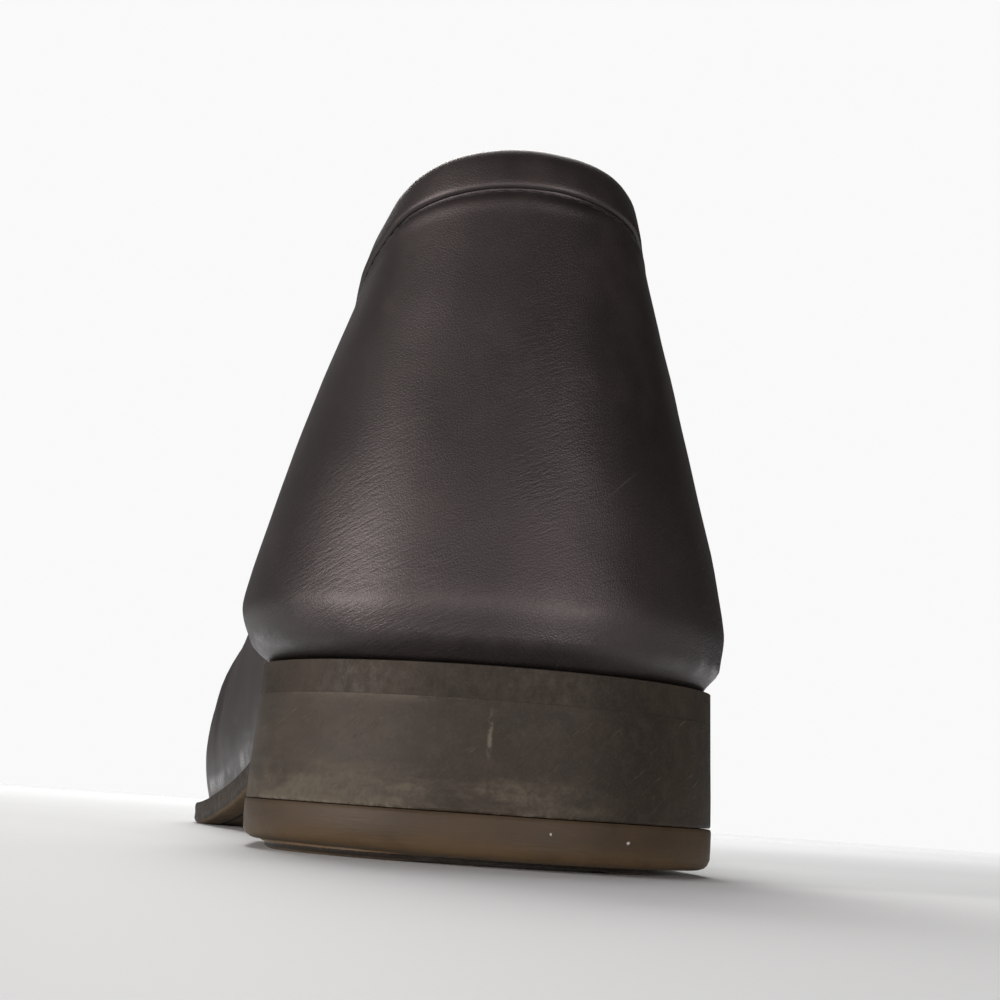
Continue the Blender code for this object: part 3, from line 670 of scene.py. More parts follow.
def rubber_material(name):
    """Top lift: dark rubber, brown and dust-covered below, scraped round its worn edge, with pits at the
    breast and a painted shadow of the tap on its underside.
    """
    p = Paint(name, specular_ior_level=0.24)
    z = p.axis("Z")
    cloud = p.noise(75, 5, 0.6)
    dust = p.noise(260, 5, 0.65)
    scrapes = p.noise(1, 3, 0.6, p.place((150, 150, 2400)))
    colour = p.mix(p.band(cloud, 0.3, 0.7), grey(0.027, 1.50, 0.58), grey(0.040, 1.52, 0.56))
    worn = p.times(p.band(z, 0.0012, 0.0048, 1, 0), p.band(dust, 0.3, 0.6, 0.45, 1))
    colour = p.mix(p.times(worn, 0.8), colour, grey(0.056, 1.55, 0.48))
    colour = p.mix(p.band(scrapes, 0.62, 0.78, 0, 0.16), colour, grey(0.12, 1.2, 0.75))
    under = p.band(z, 0.0010, 0.00125, 1, 0)
    # Darker in the middle ahead of the tap: painted shadow of the proud tap on the heel's underside.
    from_tap_shadow = p.distance(p.place((40, 62, 0)), TAP_SHADOW_MIDDLE)
    middle = p.band(p.plus(from_tap_shadow, p.times(cloud, 0.9), p.times(dust, 0.4)), 0.95, 1.85, 1, 0)
    brown = p.mix(p.band(dust, 0.35, 0.7), grey(0.056, 1.66, 0.50), grey(0.082, 1.62, 0.50))
    brown = p.mix(p.times(middle, 0.85), brown, grey(0.022, 1.72, 0.58))
    pits = p.times(p.band(p.cells(150, "F1"), 0.10, 0.24, 1, 0), p.band(p.axis("Y"), -0.108, -0.096))
    pits = p.times(pits, p.band(cloud, 0.42, 0.52))
    brown = p.mix(p.times(pits, 0.8), brown, grey(0.014, 1.5, 0.65))
    colour = p.mix(under, colour, brown)
    seen_from_back = p.place((1, 0, 1))
    flake = p.noise(2400, 2)
    for place, radius in SPECKS:
        away = p.plus(p.distance(seen_from_back, place), p.times(flake, 0.0005), -0.00025)
        speck = p.times(p.band(away, radius * 0.6, radius, 1, 0), p.band(p.axis("Y"), -0.130, -0.125, 1, 0))
        colour = p.mix(speck, colour, grey(0.42, 1.0, 0.95))
    normal = p.bump(dust, 0.00010)
    normal = p.bump(scrapes, 0.00005, normal)
    normal = p.bump(p.times(pits, under), -0.00030, normal)
    return p.finish(colour, p.band(cloud, 0.3, 0.7, 0.48, 0.62), normal)


def tap_material(name):
    """Nailed tap: worn brown rubber, darker and glossier at its rim."""
    p = Paint(name, specular_ior_level=0.4)
    z = p.axis("Z")
    cloud = p.noise(110, 5, 0.65)
    grit = p.noise(900, 4, 0.7)
    fibres = p.noise(1, 5, 0.7, p.place((260, 1500, 900), (0, 0, -TAP_TURN)))
    colour = p.mix(p.band(cloud, 0.32, 0.68), grey(0.030, 1.62, 0.58), grey(0.072, 1.60, 0.52))
    colour = p.mix(p.band(fibres, 0.45, 0.75, 0, 0.4), colour, grey(0.115, 1.48, 0.56))
    colour = p.mix(p.band(grit, 0.52, 0.72, 0, 0.35), colour, grey(0.020, 1.5, 0.62))
    deep = p.band(z, 0.00010, 0.00038)
    colour = p.mix(p.times(deep, 0.92), colour, grey(0.009, 1.25, 0.80))
    normal = p.bump(fibres, 0.00006, p.bump(grit, 0.00010))
    return p.finish(colour, p.band(deep, 0, 1, 0.62, 0.26), normal)


def lining_material(name):
    """Smooth tan lining leather, rubbed darker in patches."""
    p = Paint(name, specular_ior_level=0.35)
    grain = p.cells(1500)
    cloud = p.noise(32, 5, 0.6)
    fine = p.noise(2600, 3)
    colour = p.mix(p.band(cloud, 0.3, 0.7), grey(0.105, 1.5, 0.62), grey(0.165, 1.42, 0.66))
    colour = p.mix(p.band(grain, 0, 0.12, 0.3, 0), colour, grey(0.05, 1.5, 0.6))
    normal = p.bump(p.band(grain, 0, 0.2), 0.00004)
    return p.finish(colour, p.band(cloud, 0.3, 0.7, 0.5, 0.66), p.bump(fine, 0.00002, normal))


def thread_material(name):
    """Waxed black thread with its twist."""
    p = Paint(name, specular_ior_level=0.4)
    twist = p.noise(1, 2, 0.5, p.place((2600, 2600, 900), (0.6, 0.6, 0.6)))
    colour = p.mix(twist, grey(0.004), grey(0.014, 1.1, 0.95))
    return p.finish(colour, p.band(twist, 0.3, 0.7, 0.6, 0.8), p.bump(twist, 0.0001))


def brass_material(name):
    """Nail heads: dull brass, scratched and browned."""
    p = Paint(name, metallic=1.0)
    tarnish = p.noise(700, 4, 0.6)
    lines = p.noise(1, 3, 0.6, p.place((500, 4200, 500), (0, 0, 0.5)))
    colour = p.mix(p.band(tarnish, 0.35, 0.65), grey(0.20, 1.45, 0.52), grey(0.36, 1.32, 0.58))
    return p.finish(colour, p.band(tarnish, 0.3, 0.7, 0.46, 0.66), p.bump(lines, 0.00006))


def floor_material(name):
    """Pale matt floor that runs out into the surroundings."""
    p = Paint(name, specular_ior_level=0.15)
    cloud = p.noise(3, 4)
    colour = p.mix(p.band(cloud, 0.3, 0.7), grey(0.85, 0.96, 1.02), grey(0.88, 0.96, 1.02))
    away = p.node("VectorMath", {0: p.coords}, "Value", operation="LENGTH")
    p.feed(p.shader.inputs["Alpha"], p.band(away, 0.45, 1.3, 1, 0))
    return p.finish(colour, p.band(cloud, 0.3, 0.7, 0.6, 0.7), p.bump(p.noise(900, 2), 0.00002))


CALF = calf_material("black_calf_wall", wall_marks=True)
CALF_TRIM = calf_material("black_calf_trim", wall_marks=False)
HEEL_LEATHER = edge_leather_material("heel_leather_waxed")
SOLE_LEATHER = sole_material("sole_leather_worn")
RUBBER = rubber_material("heel_rubber_worn")
TAP_RUBBER = tap_material("tap_rubber_worn")
LINING_LEATHER = lining_material("lining_leather_tan")
THREAD = thread_material("black_thread")
BRASS = brass_material("nail_brass_dull")


# Meshes

def add_object(name, data):
    obj = bpy.data.objects.new(name, data)
    bpy.context.scene.collection.objects.link(obj)
    return obj


def piece(name, points, faces, finish, slot, replaced=(), sharp=None, closed=True):
    """A mesh of the shoe from points of the last. Where it is closed its faces are turned outwards."""
    mesh = bpy.data.meshes.new(name)
    mesh.from_pydata(to_row(points).tolist(), [], faces)
    mesh.update()
    mesh.shade_smooth()
    if sharp:
        mesh.set_sharp_from_angle(angle=math.radians(sharp))
    mesh.materials.append(finish)
    obj = add_object(name, mesh)
    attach(obj, "root")
    if replaced:
        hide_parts(*replaced)
    if closed:
        mend(mesh)
    return obj


def mend(mesh, weld=None):
    """Turns every face of a closed mesh outwards, after joining points within the weld's distance."""
    shape = bmesh.new()
    shape.from_mesh(mesh)
    if weld:
        bmesh.ops.remove_doubles(shape, verts=shape.verts, dist=weld * MM)
        loose = [v for v in shape.verts if not v.link_faces]
        bmesh.ops.delete(shape, geom=loose, context="VERTS")
    bmesh.ops.recalc_face_normals(shape, faces=shape.faces)
    shape.to_mesh(mesh)
    shape.free()


def move_points(obj, points):
    obj.data.vertices.foreach_set("co", to_row(points).astype(np.float32).ravel())
    obj.data.update()


def vertex_normals(obj):
    return np.array([v.normal for v in obj.data.vertices])


def thicken(obj, thickness):
    solid = obj.modifiers.new("wall", "SOLIDIFY")
    solid.thickness = thickness * MM
    solid.offset = -1


def unit(vectors):
    return vectors / np.linalg.norm(vectors, axis=-1, keepdims=True)


def around(points):
    """The direction of a closed loop at each of its points."""
    return unit(np.roll(points, -1, axis=0) - np.roll(points, 1, axis=0))


def run_along(line):
    """Distance along a line to each of its points."""
    return np.concatenate(([0], np.cumsum(np.linalg.norm(np.diff(line, axis=0), axis=1))))


def turns(count):
    """Angles evenly round a circle."""
    return [2 * math.pi * k / count for k in range(count)]


def grid_faces(rows, count, closed):
    """Quads of a grid stored row by row, closed round each row or not."""
    return [
        (r * count + k, r * count + (k + 1) % count, (r + 1) * count + (k + 1) % count, (r + 1) * count + k)
        for r in range(rows - 1)
        for k in range(count if closed else count - 1)
    ]


def tube_faces(rows, count):
    """Faces of a tube through rows of points, with both ends filled."""
    last = (rows - 1) * count
    ends = [tuple(range(count)), tuple(range(last, last + count))]
    return grid_faces(rows, count, closed=True) + ends


def ring_faces(rows, count):
    """Faces of a tube through rows of points that runs back into its start."""
    last = (rows - 1) * count
    seam = [(last + k, last + (k + 1) % count, (k + 1) % count, k) for k in range(count)]
    return grid_faces(rows, count, closed=True) + seam


def strip_faces(start, count, upwards):
    """Faces across a sole from its lateral to its medial edge."""
    half = count // 2
    faces = [(0, 1, count - 1)]
    faces += [(k, k + 1, count - k - 1, count - k) for k in range(1, half - 1)]
    faces.append((half - 1, half, half + 1))
    faces = [tuple(start + k for k in face) for face in faces]
    return [tuple(reversed(face)) for face in faces] if upwards else faces


# One stitch along its length: share of it, thickness and rise in radii
STITCH_ROWS = (
    (0.0, 0.15, -0.5),
    (0.07, 0.7, 0.0),
    (0.3, 1.0, 0.35),
    (0.7, 1.0, 0.35),
    (0.93, 0.7, 0.0),
    (1.0, 0.15, -0.5),
)


def capsule(start, end, normal, radius, sides=6):
    """Points and faces of one stitch, arched off the leather."""
    across = np.cross(unit(end - start), normal)
    points = []
    for share, size, rise in STITCH_ROWS:
        centre = start + (end - start) * share + normal * radius * rise
        for turn in turns(sides):
            points.append(centre + (across * math.cos(turn) + normal * math.sin(turn)) * radius * size)
    return points, tube_faces(len(STITCH_ROWS), sides)


def join(parts):
    """Points and faces of many small shapes as one."""
    points, faces = [], []
    for some_points, some_faces in parts:
        faces += [tuple(len(points) + k for k in face) for face in some_faces]
        points += list(some_points)
    return points, faces


def even_steps(line, step):
    """Points along a line at equal distances, as near to the step as fits."""
    line = np.asarray(line, float)
    run = run_along(line)
    count = max(2, round(run[-1] / step) + 1)
    wanted = np.linspace(0, run[-1], count)
    return np.column_stack([np.interp(wanted, run, line[:, k]) for k in range(3)])


def stitch_row(name, line, tree, radius):
    """Stitches along a line, seated on the leather below it."""
    places = even_steps(line, STITCH + STITCH_GAP)
    parts = []
    for here, after in zip(places[:-1], places[1:]):
        end = here + (after - here) * STITCH / (STITCH + STITCH_GAP)
        spots = [tree.find_nearest(Vector(to_row(p))) for p in (here, end)]
        ends = [np.array(spot[0]) / MM - SHIFT for spot in spots]
        normal = unit(np.array(spots[0][1] + spots[1][1]))
        parts.append(capsule(*ends, normal, radius))
    piece(name, *join(parts), THREAD, "black_calf")


# Upper

def wall_column(y, side):
    """Fine points up the wall at a station, their run along the leather and the seam's run."""
    levels = np.concatenate((np.linspace(-1, 0, 24, endpoint=False), np.linspace(0, 1, 170)))
    points = wall(y, side, levels)
    run = run_along(points)
    if y < APRON_BACK_Y:
        return points, run, run[-1] + BEYOND_TOP
    above = levels > 0
    return points, run, float(np.interp(0, -outside_apron(points[above], side), run[above]))


def outside_apron(points, side):
    """How far plan points lie outside the apron's outline: 0 on it, more outside."""
    found = []
    for x, y, _ in points:
        start = min(y, TOE_FAN_Y)
        half = APRON(start) * half_width(start, side)
        ahead = max(0.0, y - TOE_FAN_Y) / (APRON_TIP_Y - TOE_FAN_Y)
        across = abs(x - LAST["axis_x"](y)) / half
        found.append(across**APRON_ROUNDNESS + ahead**APRON_ROUNDNESS - 1)
    return np.array(found)


def row_runs(total, seam, spread):
    """Where the rows of a column lie on its run: close at the feather edge and the apron's seam."""
    foot, lower, band, top = spread
    seam = min(seam, total - SEAM_BAND - TOP_BAND)
    return np.concatenate(
        (
            np.linspace(0, FOOT_BAND, foot, endpoint=False),
            np.linspace(FOOT_BAND, seam - SEAM_BAND, lower, endpoint=False),
            np.linspace(seam - SEAM_BAND, seam + SEAM_BAND, band, endpoint=False),
            np.linspace(seam + SEAM_BAND, total, top),
        )
    )


def wall_grid(ring, spread):
    """Points of the wall column by column, with their run up the wall and their distance from the seam."""
    grid, runs, seams = [], [], []
    for y, side in ring:
        points, run, seam = wall_column(y, side)
        rows = row_runs(run[-1], seam, spread)
        grid.append(np.column_stack([np.interp(rows, run, points[:, k]) for k in range(3)]))
        runs.append(rows)
        seams.append(rows - seam)
    return np.array(grid), np.array(runs), np.array(seams)


def wall_mesh(ring, grid):
    """Vertices and faces of the wall. Both sides share the ridge of the vamp."""
    count, rows = grid.shape[:2]
    index = np.arange(count * rows).reshape(count, rows)
    for column, (y, side) in enumerate(ring):
        if side == MEDIAL and y >= THROAT_Y:
            index[column, -1] = index[count - column, -1]
    kept, packed = np.unique(index, return_inverse=True)
    packed = packed.reshape(count, rows)
    faces, corners = [], []
    for column in range(count):
        after = (column + 1) % count
        for row in range(rows - 1):
            quad = [(after, row), (column, row), (column, row + 1), (after, row + 1)]
            ids = [packed[c] for c in quad]
            keep = [k for k in range(4) if ids[k] not in ids[:k]]
            faces.append(tuple(int(ids[k]) for k in keep))
            corners.append([quad[k] for k in keep])
    return kept, faces, corners


def mounds(distance, *shapes):
    """Soft ridges, or grooves where the height is negative, each of a height, a place and a width."""
    return sum(height * bell((distance - place) / width) for height, place, width in shapes)


def crease_relief(offset, y):
    """Soft troughs with raised lips where the vamp bends in walking."""
    total = np.zeros_like(y)
    for middle, sweep, lateral, medial, depth, width in CREASES:
        waver = CREASE_WAVER * np.sin(offset / CREASE_WAVER_RUN + middle)
        line = middle - sweep * (offset / CREASE_SWEPT) ** 2 + waver
        t = (y - line) / width
        ends = fade(offset, lateral, lateral + CREASE_RUNOUT)
        ends = ends * fade(-offset, -medial, -medial + CREASE_RUNOUT)
        total += depth * ends * mounds(t, *CREASE_PROFILE)
    return total


def fold_relief(offset, y, z):
    """Short soft folds that run down the walls below the creases."""
    total = np.zeros_like(y)
    for side, place, lean, lowest, depth, width in SIDE_FOLDS:
        up = z - FOLD_LEVEL
        line = place + lean * up + FOLD_WAVER * np.sin(z / FOLD_WAVER_RUN + place)
        t = (y - line) / (width * (1 + FOLD_WIDENING * up))
        ends = fade(z, lowest, lowest + FOLD_RUNOUT) * (np.sign(offset) == side)
        total += depth * ends * mounds(t, *FOLD_PROFILE)
    return total


def seam_relief(distance, along):
    """Pinched apron seam: a puckered lip outside, a groove, and the plug's rounded edge inside."""
    pucker = 1 + SEAM_PUCKER * np.cos(2 * math.pi * along / PUCKER_STEP)
    return pucker * mounds(distance, SEAM_LIP) + mounds(distance, *SEAM_INSIDE)


def quarter_line(z):
    """Y of the front edge of the quarter, at a height."""
    return QUARTER_FRONT_Y + QUARTER_LEAN * (z - QUARTER_LEVEL) + QUARTER_SWING * fade(z, *QUARTER_SWING_Z)


def lower_edge(normals, run, ring_y):
    """How the lower edge is drawn in under the heel's roll and pressed down on the sole, in millimetres."""
    level = unit(normals * (1, 1, 0))
    tuck = TUCK * (1 - fade(run, *TUCK_RUN)) * (1 - fade(ring_y, *TUCK_GONE_Y))
    down = SEAT * (1 - fade(run, *SEAT_RUN))
    return -level * tuck[:, None] - np.outer(down, (0, 0, 1))


def wall_relief(points, run, below, seam, along, ring_y):
    """How far the finished surface stands off the last, in millimetres."""
    x, y, z = points.T
    middle = np.array([LAST["axis_x"](v) for v in y])
    ahead = fade(ring_y, APRON_BACK_Y, APRON_BACK_Y + SEAM_RUNOUT)
    relief = seam_relief(seam, along) * ahead * fade(run, *SEAM_RUN)
    relief += crease_relief(x - middle, y) * fade(seam, *CREASED_SEAM) * fade(ring_y, *CREASED_Y)
    relief += fold_relief(x - middle, y, z) * (1 - fade(seam, *FOLD_GONE_SEAM)) * fade(ring_y, *FOLDED_Y)
    relief += mounds(run, ROLL_LIP) * (1 - fade(ring_y, *ROLL_GONE_Y))
    relief += mounds(below, *COLLAR_PROFILE) * (1 - fade(ring_y, *COLLAR_GONE_Y))
    behind = fade(quarter_line(z) - y, -0.5, 0.5)
    relief += QUARTER_STEP * behind * fade(ring_y, *QUARTER_SEEN_Y) * fade(run, *QUARTER_RUN)
    return relief + unevenness(points, *WAVES) * fade(run, *WAVES_RUN) + unevenness(points, *RIPPLES)


def unevenness(points, height, frequency):
    return height * np.array([noise.noise(Vector(p) * frequency) for p in points])


def round_the_shoe(belt, half):
    """Distance of each column from the back of the heel, lateral ones negative, and that of a medial toe."""
    steps = np.linalg.norm(np.roll(belt, -1, axis=0) - belt, axis=1)
    count = len(belt)
    lateral = np.concatenate(([0], np.cumsum(steps[:half])))
    medial = np.concatenate(([0], np.cumsum(steps[::-1][: count - half])))
    along = np.array([-lateral[c] if c <= half else medial[count - c] for c in range(count)])
    return along, medial[count - half]


def lay_out(mesh, corners, along, toe_run, half, runs):
    """The wall's surface laid out flat: distance round the shoe and up the wall, in metres."""
    flat = []
    for quad in corners:
        medial = max(column for column, _ in quad) > half
        for column, row in quad:
            distance = toe_run if medial and column == half else along[column]
            flat += [distance * MM, runs[column, row] * MM]
    mesh.uv_layers.new(name="surface").data.foreach_set("uv", np.array(flat, np.float32))


def build_upper():
    """The outer leather, with a tree of its surface and what its seams are found by."""
    places = stations()
    ring = ring_stations(places)
    grid, runs, seams = wall_grid(ring, UPPER_ROWS)
    kept, faces, corners = wall_mesh(ring, grid)
    points = grid.reshape(-1, 3)[kept]
    upper = piece("upper_leather", points, faces, CALF, "black_calf", ["upper"], closed=False)
    half = len(places) - 1
    along, toe_run = round_the_shoe(grid[:, BELT_ROW], half)
    rows = runs.shape[1]
    ring_y = np.repeat([y for y, _ in ring], rows)[kept]
    round_shoe = np.repeat(along, rows)[kept]
    run, seam = runs.ravel()[kept], seams.ravel()[kept]
    below = (runs[:, -1:] - runs).ravel()[kept]
    normals = vertex_normals(upper)
    relief = wall_relief(points, run, below, seam, round_shoe, ring_y)
    move_points(upper, points + normals * relief[:, None] + lower_edge(normals, run, ring_y))
    lay_out(upper.data, corners, along, toe_run, half, runs)
    corners_of_faces = [p.vertices for p in upper.data.polygons]
    tree = BVHTree.FromPolygons([v.co for v in upper.data.vertices], corners_of_faces)
    thicken(upper, LEATHER)
    return tree, ring, grid, seams


def build_lining():
    """The inner skin, from the feather edge to the collar."""
    ring = ring_stations(stations(18, 30, 20, 24, 20))
    grid, runs, _ = wall_grid(ring, LINING_ROWS)
    kept, faces, _ = wall_mesh(ring, grid)
    points = grid.reshape(-1, 3)[kept]
    lining = piece("lining", points, faces, LINING_LEATHER, "insole_leather", closed=False)
    ring_y = np.repeat([y for y, _ in ring], runs.shape[1])[kept]
    normals = vertex_normals(lining)
    move_points(lining, points - normals * LINING_DEPTH + lower_edge(normals, runs.ravel()[kept], ring_y))
    thicken(lining, LINING)


def topline():
    """The edge of the opening once round, from the throat along the lateral side to the heel and back."""
    places = [y for y in stations() if y < THROAT_Y] + [THROAT_Y]
    lateral = [wall(y, LATERAL, [1.0])[0] for y in places]
    medial = [wall(y, MEDIAL, [1.0])[0] for y in places]
    loop = np.array(lateral[::-1] + medial[1:])
    return even_steps(loop, TOPLINE_STEP)[:-1]


def smooth_loop(values, reach):
    """Running mean round a closed loop."""
    return sum(np.roll(values, k, axis=0) for k in range(-reach, reach + 1)) / (2 * reach + 1)


def edge_frames(tree):
    """Places round the opening with the outward normal of the leather and the way up over its edge."""
    line = smooth_loop(topline(), 2)
    normals = np.array([tree.find_nearest(Vector(to_row(p)))[1] for p in line])
    normals = smooth_loop(normals, 6)
    along = around(line)
    normals = unit(normals - along * np.sum(normals * along, axis=1)[:, None])
    over = np.cross(normals, along)
    if over[len(over) // 2][2] < 0:
        over = -over
    return line, normals, over


BINDING_WAVES = ((0.22, 0.07, 0.0), (0.07, 0.31, 5.0))      # height, frequency and place in the noise
BINDING_STRETCH = 0.20                                      # of its height where it waves outwards
# Cross-section of the binding: outwards and up over the edge
BINDING = (
    (-0.35, -5.55),
    (0.20, -5.50),
    (0.50, -5.20),
    (0.64, -4.4),
    (0.68, -2.9),
    (0.62, -1.3),
    (0.36, -0.1),
    (-0.25, 0.75),
    (-1.1, 0.95),
    (-2.0, 0.75),
    (-2.65, 0.0),
    (-2.9, -1.3),
    (-2.95, -3.2),
    (-2.8, -4.4),
    (-2.3, -4.9),
)


def build_binding(line, normals, over):
    """Folded band round the opening, a little wavy."""
    outline = np.array(spline([(a, b, 0) for a, b in BINDING], closed=True, steps=3))[:, :2]
    points = []
    for k, (centre, out, up) in enumerate(zip(line, normals, over)):
        wave = sum(high * noise.noise(Vector((k * often, at, 3.0))) for high, often, at in BINDING_WAVES)
        for a, b in outline:
            points.append(centre + out * (a + wave) + up * b * (1 + BINDING_STRETCH * wave))
    piece("collar_binding", points, ring_faces(len(line), len(outline)), CALF_TRIM, "black_calf")


def build_collar_stitches(tree, line, over):
    """Thread in the groove below the binding."""
    below = line - over * COLLAR_GROOVE
    stitch_row("collar_stitches", np.vstack((below, below[:1])), tree, COLLAR_THREAD)


def build_apron_stitches(tree, ring, grid, seams):
    """Thread in the groove of the apron's seam."""
    line = []
    for column, (y, _) in enumerate(ring):
        if y >= APRON_BACK_Y + SEAM_UNSTITCHED:
            row = int(np.argmin(np.abs(seams[column] - SEAM_THREAD)))
            line.append(grid[column, row])
    stitch_row("apron_stitches", line, tree, APRON_THREAD)


def build_quarter_stitches(tree):
    """A double row behind the front edge of the quarter on each side."""
    for side in (LATERAL, MEDIAL):
        for number, back in enumerate(QUARTER_ROWS, 1):
            line = []
            for z in np.linspace(*QUARTER_STITCHED_Z, 40):
                points = wall(quarter_line(z) - back, side, np.linspace(-1, 1, 200))
                heights = points[:, 2]
                if heights[0] + QUARTER_MARGINS[0] < z < heights[-1] - QUARTER_MARGINS[1]:
                    line.append([np.interp(z, heights, points[:, k]) for k in range(3)])
            stitch_row(f"quarter_stitches_{side_name(side)}_{number}", line, tree, QUARTER_THREAD)


def tongue_point(share, run):
    """A point of the tongue's top. It follows the vamp and runs out behind the throat in a low arch."""
    y = TONGUE_BACK_Y + (TONGUE_FRONT_Y - TONGUE_BACK_Y) * run
    place = y + TONGUE_ROUNDING * abs(share) ** 2.5 * (1 - run)
    side = MEDIAL if share > 0 else LATERAL
    half = TONGUE_SHARE * half_width(place, side)
    under = on_vamp(half * share, place, -TONGUE_DEPTH)
    edge = on_vamp(half * side, place, -TONGUE_DEPTH)
    back = max(0.0, TONGUE_VAMP_Y - place) / (TONGUE_VAMP_Y - TONGUE_BACK_Y)
    slope = LAST["ridge"](place + 0.5) - LAST["ridge"](place - 0.5)
    middle_z = LAST["ridge"](place) - TONGUE_DEPTH * math.hypot(1, slope) - TONGUE_SAG * back**2
    middle = np.array((LAST["axis_x"](place), place, middle_z))
    arch = middle + (edge - middle) * (abs(share), share**2, share**2)
    blend = float(fade(place, TONGUE_ARCH_Y, TONGUE_VAMP_Y))
    return arch * (1 - blend) + under * blend


def build_tongue():
    """Curved sheet under the throat, with softened edges and a slight wave at its back end."""
    across, along = 56, 44
    points = []
    for j in range(along + 1):
        for i in range(across + 1):
            share, run = 2 * i / across - 1, j / along
            wave = TONGUE_WAVE * (1 - run) ** 2 * math.sin(3.2 * share + 0.6)
            points.append(tongue_point(share, run) - np.array((0, 0, TONGUE_LOWERED + wave)))
    faces = grid_faces(along + 1, across + 1, closed=False)
    tongue = piece("tongue_leather", points, faces, CALF_TRIM, "black_calf", ["tongue"], closed=False)
    thicken(tongue, TONGUE_THICKNESS - TONGUE_THINNED)
    rim = tongue.modifiers.new("rim", "BEVEL")
    rim.width = TONGUE_RIM * MM
    rim.segments = 3
    rim.limit_method = "ANGLE"
    rim.angle_limit = math.radians(55)


# Sole and heel

def sole_ring(distance, places):
    ring = ring_stations(places)
    return offset_loop([feather(y, side) for y, side in ring], [distance(y) for y, _ in ring])


def slab(name, rows, places, finish, slot, replaced):
    """A closed solid under the foot. Each row, going up, is a distance past the feather edge and a height."""
    points = []
    for distance, height in rows:
        loop = sole_ring(distance, places)
        points += [(x, y, height(y)) for x, y in loop]
    count = len(loop)
    faces = [tuple(reversed(face)) for face in grid_faces(len(rows), count, closed=True)]
    faces += strip_faces(0, count, upwards=False)
    faces += strip_faces((len(rows) - 1) * count, count, upwards=True)
    piece(name, points, faces, finish, slot, replaced, SHARP)


# Section of the outsole, from its underside round its edge: distance from the edge and height
OUTSOLE_SECTION = (
    (-7.5, 0.0),
    (-5.7, 0.0),
    (-5.5, 0.3),
    (-5.1, 0.3),
    (-4.9, 0.0),
    (-1.5, 0.0),
    (-0.8, 0.10),
    (-0.3, 0.45),
    (-0.05, 1.1),
    (-0.12, 2.4),
    (0.0, 3.5),
    (-0.06, 4.05),
    (-0.35, 4.5),
    (-1.4, 4.7),
)
EDGE_INNER = -1.0               # rows further in are the same over the heel
EDGE_FREE_Y = (62, 78)          # the sole's edge leaves the heel
FLUSH_EDGE, FLUSH_SHARE = 1.0, 0.04     # over the heel, heights below this one shrink to a share


def outsole_row(past, up, y):
    """Distance and height of one row of the section. Over the heel the edge runs on down flush with it."""
    if past < EDGE_INNER:
        return past, up
    free = float(fade(y, *EDGE_FREE_Y))
    flush_up = FLUSH_SHARE * up if up < FLUSH_EDGE else up
    return past * free - HEEL_SLANT * flush_up * (1 - free), up * free + flush_up * (1 - free)


def build_outsole():
    """Leather sole. Its lower edge is rounded off, except where the heel carries on below it."""
    rows = [
        (
            lambda y, past=past, up=up: SOLE["edge"](y) + outsole_row(past, up, y)[0],
            lambda y, past=past, up=up: SOLE["bottom"](y) + outsole_row(past, up, y)[1],
        )
        for past, up in OUTSOLE_SECTION
    ]
    places = stations(30, 50, 20, 50, 40)
    slab("outsole_leather", rows, places, SOLE_LEATHER, "sole_leather", ["outsole"])


# Section of the insole: distance from the feather edge and height
INSOLE_SECTION = ((-3.1, 0.0), (-3.0, 1.6), (-3.3, 2.4), (-4.2, 2.6), (-7.0, 2.5), (-13.0, 2.2))


def build_insole():
    rows = [(lambda y, past=past: past, lambda y, up=up: feather_z(y) + up) for past, up in INSOLE_SECTION]
    places = stations(20, 30, 14, 30, 26)
    slab("insole_sock", rows, places, LINING_LEATHER, "insole_leather", ["insole"])


def heel_loop(distance, steps=34):
    """Plan of the heel: the back of the sole's edge closed by a slanted, slightly hollow breast."""
    lateral_end, medial_end = BREAST_LATERAL_Y - BREAST_CORNER, BREAST_MEDIAL_Y - BREAST_CORNER
    back = heel_stations(steps)
    lateral = back + list(np.linspace(HEEL_CENTRE_Y, lateral_end, 14)[1:])
    medial = back[1:] + list(np.linspace(HEEL_CENTRE_Y, medial_end, 14)[1:])
    wall_line = [feather(y, MEDIAL) for y in reversed(medial)] + [feather(y, LATERAL) for y in lateral]
    start, end = wall_line[-1], wall_line[0]
    front_start = np.array((start[0] + BREAST_CORNER, BREAST_LATERAL_Y))
    front_end = np.array((end[0] - BREAST_CORNER, BREAST_MEDIAL_Y))
    corner = np.array((BREAST_CORNER * CORNER_ACROSS, BREAST_CORNER * CORNER_ALONG))
    breast = spline((start, start + corner, front_start), closed=False, steps=5)[1:]
    for share in np.linspace(0, 1, 25)[1:-1]:
        hollow = np.array((0.0, -BREAST_HOLLOW * 4 * share * (1 - share)))
        breast.append(front_start * (1 - share) + front_end * share + hollow)
    breast += spline((front_end, end + corner * (-1, 1), end), closed=False, steps=5)[:-1]
    loop = wall_line + breast
    distances = distance if np.ndim(distance) else [distance] * len(loop)
    return offset_loop(loop, distances)


WORN_CORNER = np.array((-0.80, -0.60))      # direction of the heel's outer back corner


def heel_wear():
    """How worn the base is round the heel: most at the outer back corner."""
    loop = heel_loop(0.0)
    out = unit(loop - np.array((0.0, HEEL_CENTRE_Y)))
    return np.clip(out @ WORN_CORNER, 0, 1) ** 3


def raised(loop, height):
    """The points of a plan loop at a height, or at a height for each."""
    return [(x, y, z) for (x, y), z in zip(loop, np.broadcast_to(height, len(loop)))]


# Section of the heel block: share of the height, distance past its slanted side
HEEL_SECTION = (
    (0.0, -0.9),
    (0.002, -0.2),
    (0.016, -0.03),
    (0.03, -0.01),
    (0.3, 0.03),
    (0.62, 0.0),
    (1.0, 0.0),
    (1.0, -0.9),
)
HEEL_GAPS = (0.05, 0.015)       # below and above the block
HEEL_STEP = 0.12                # the block stands back from the lift


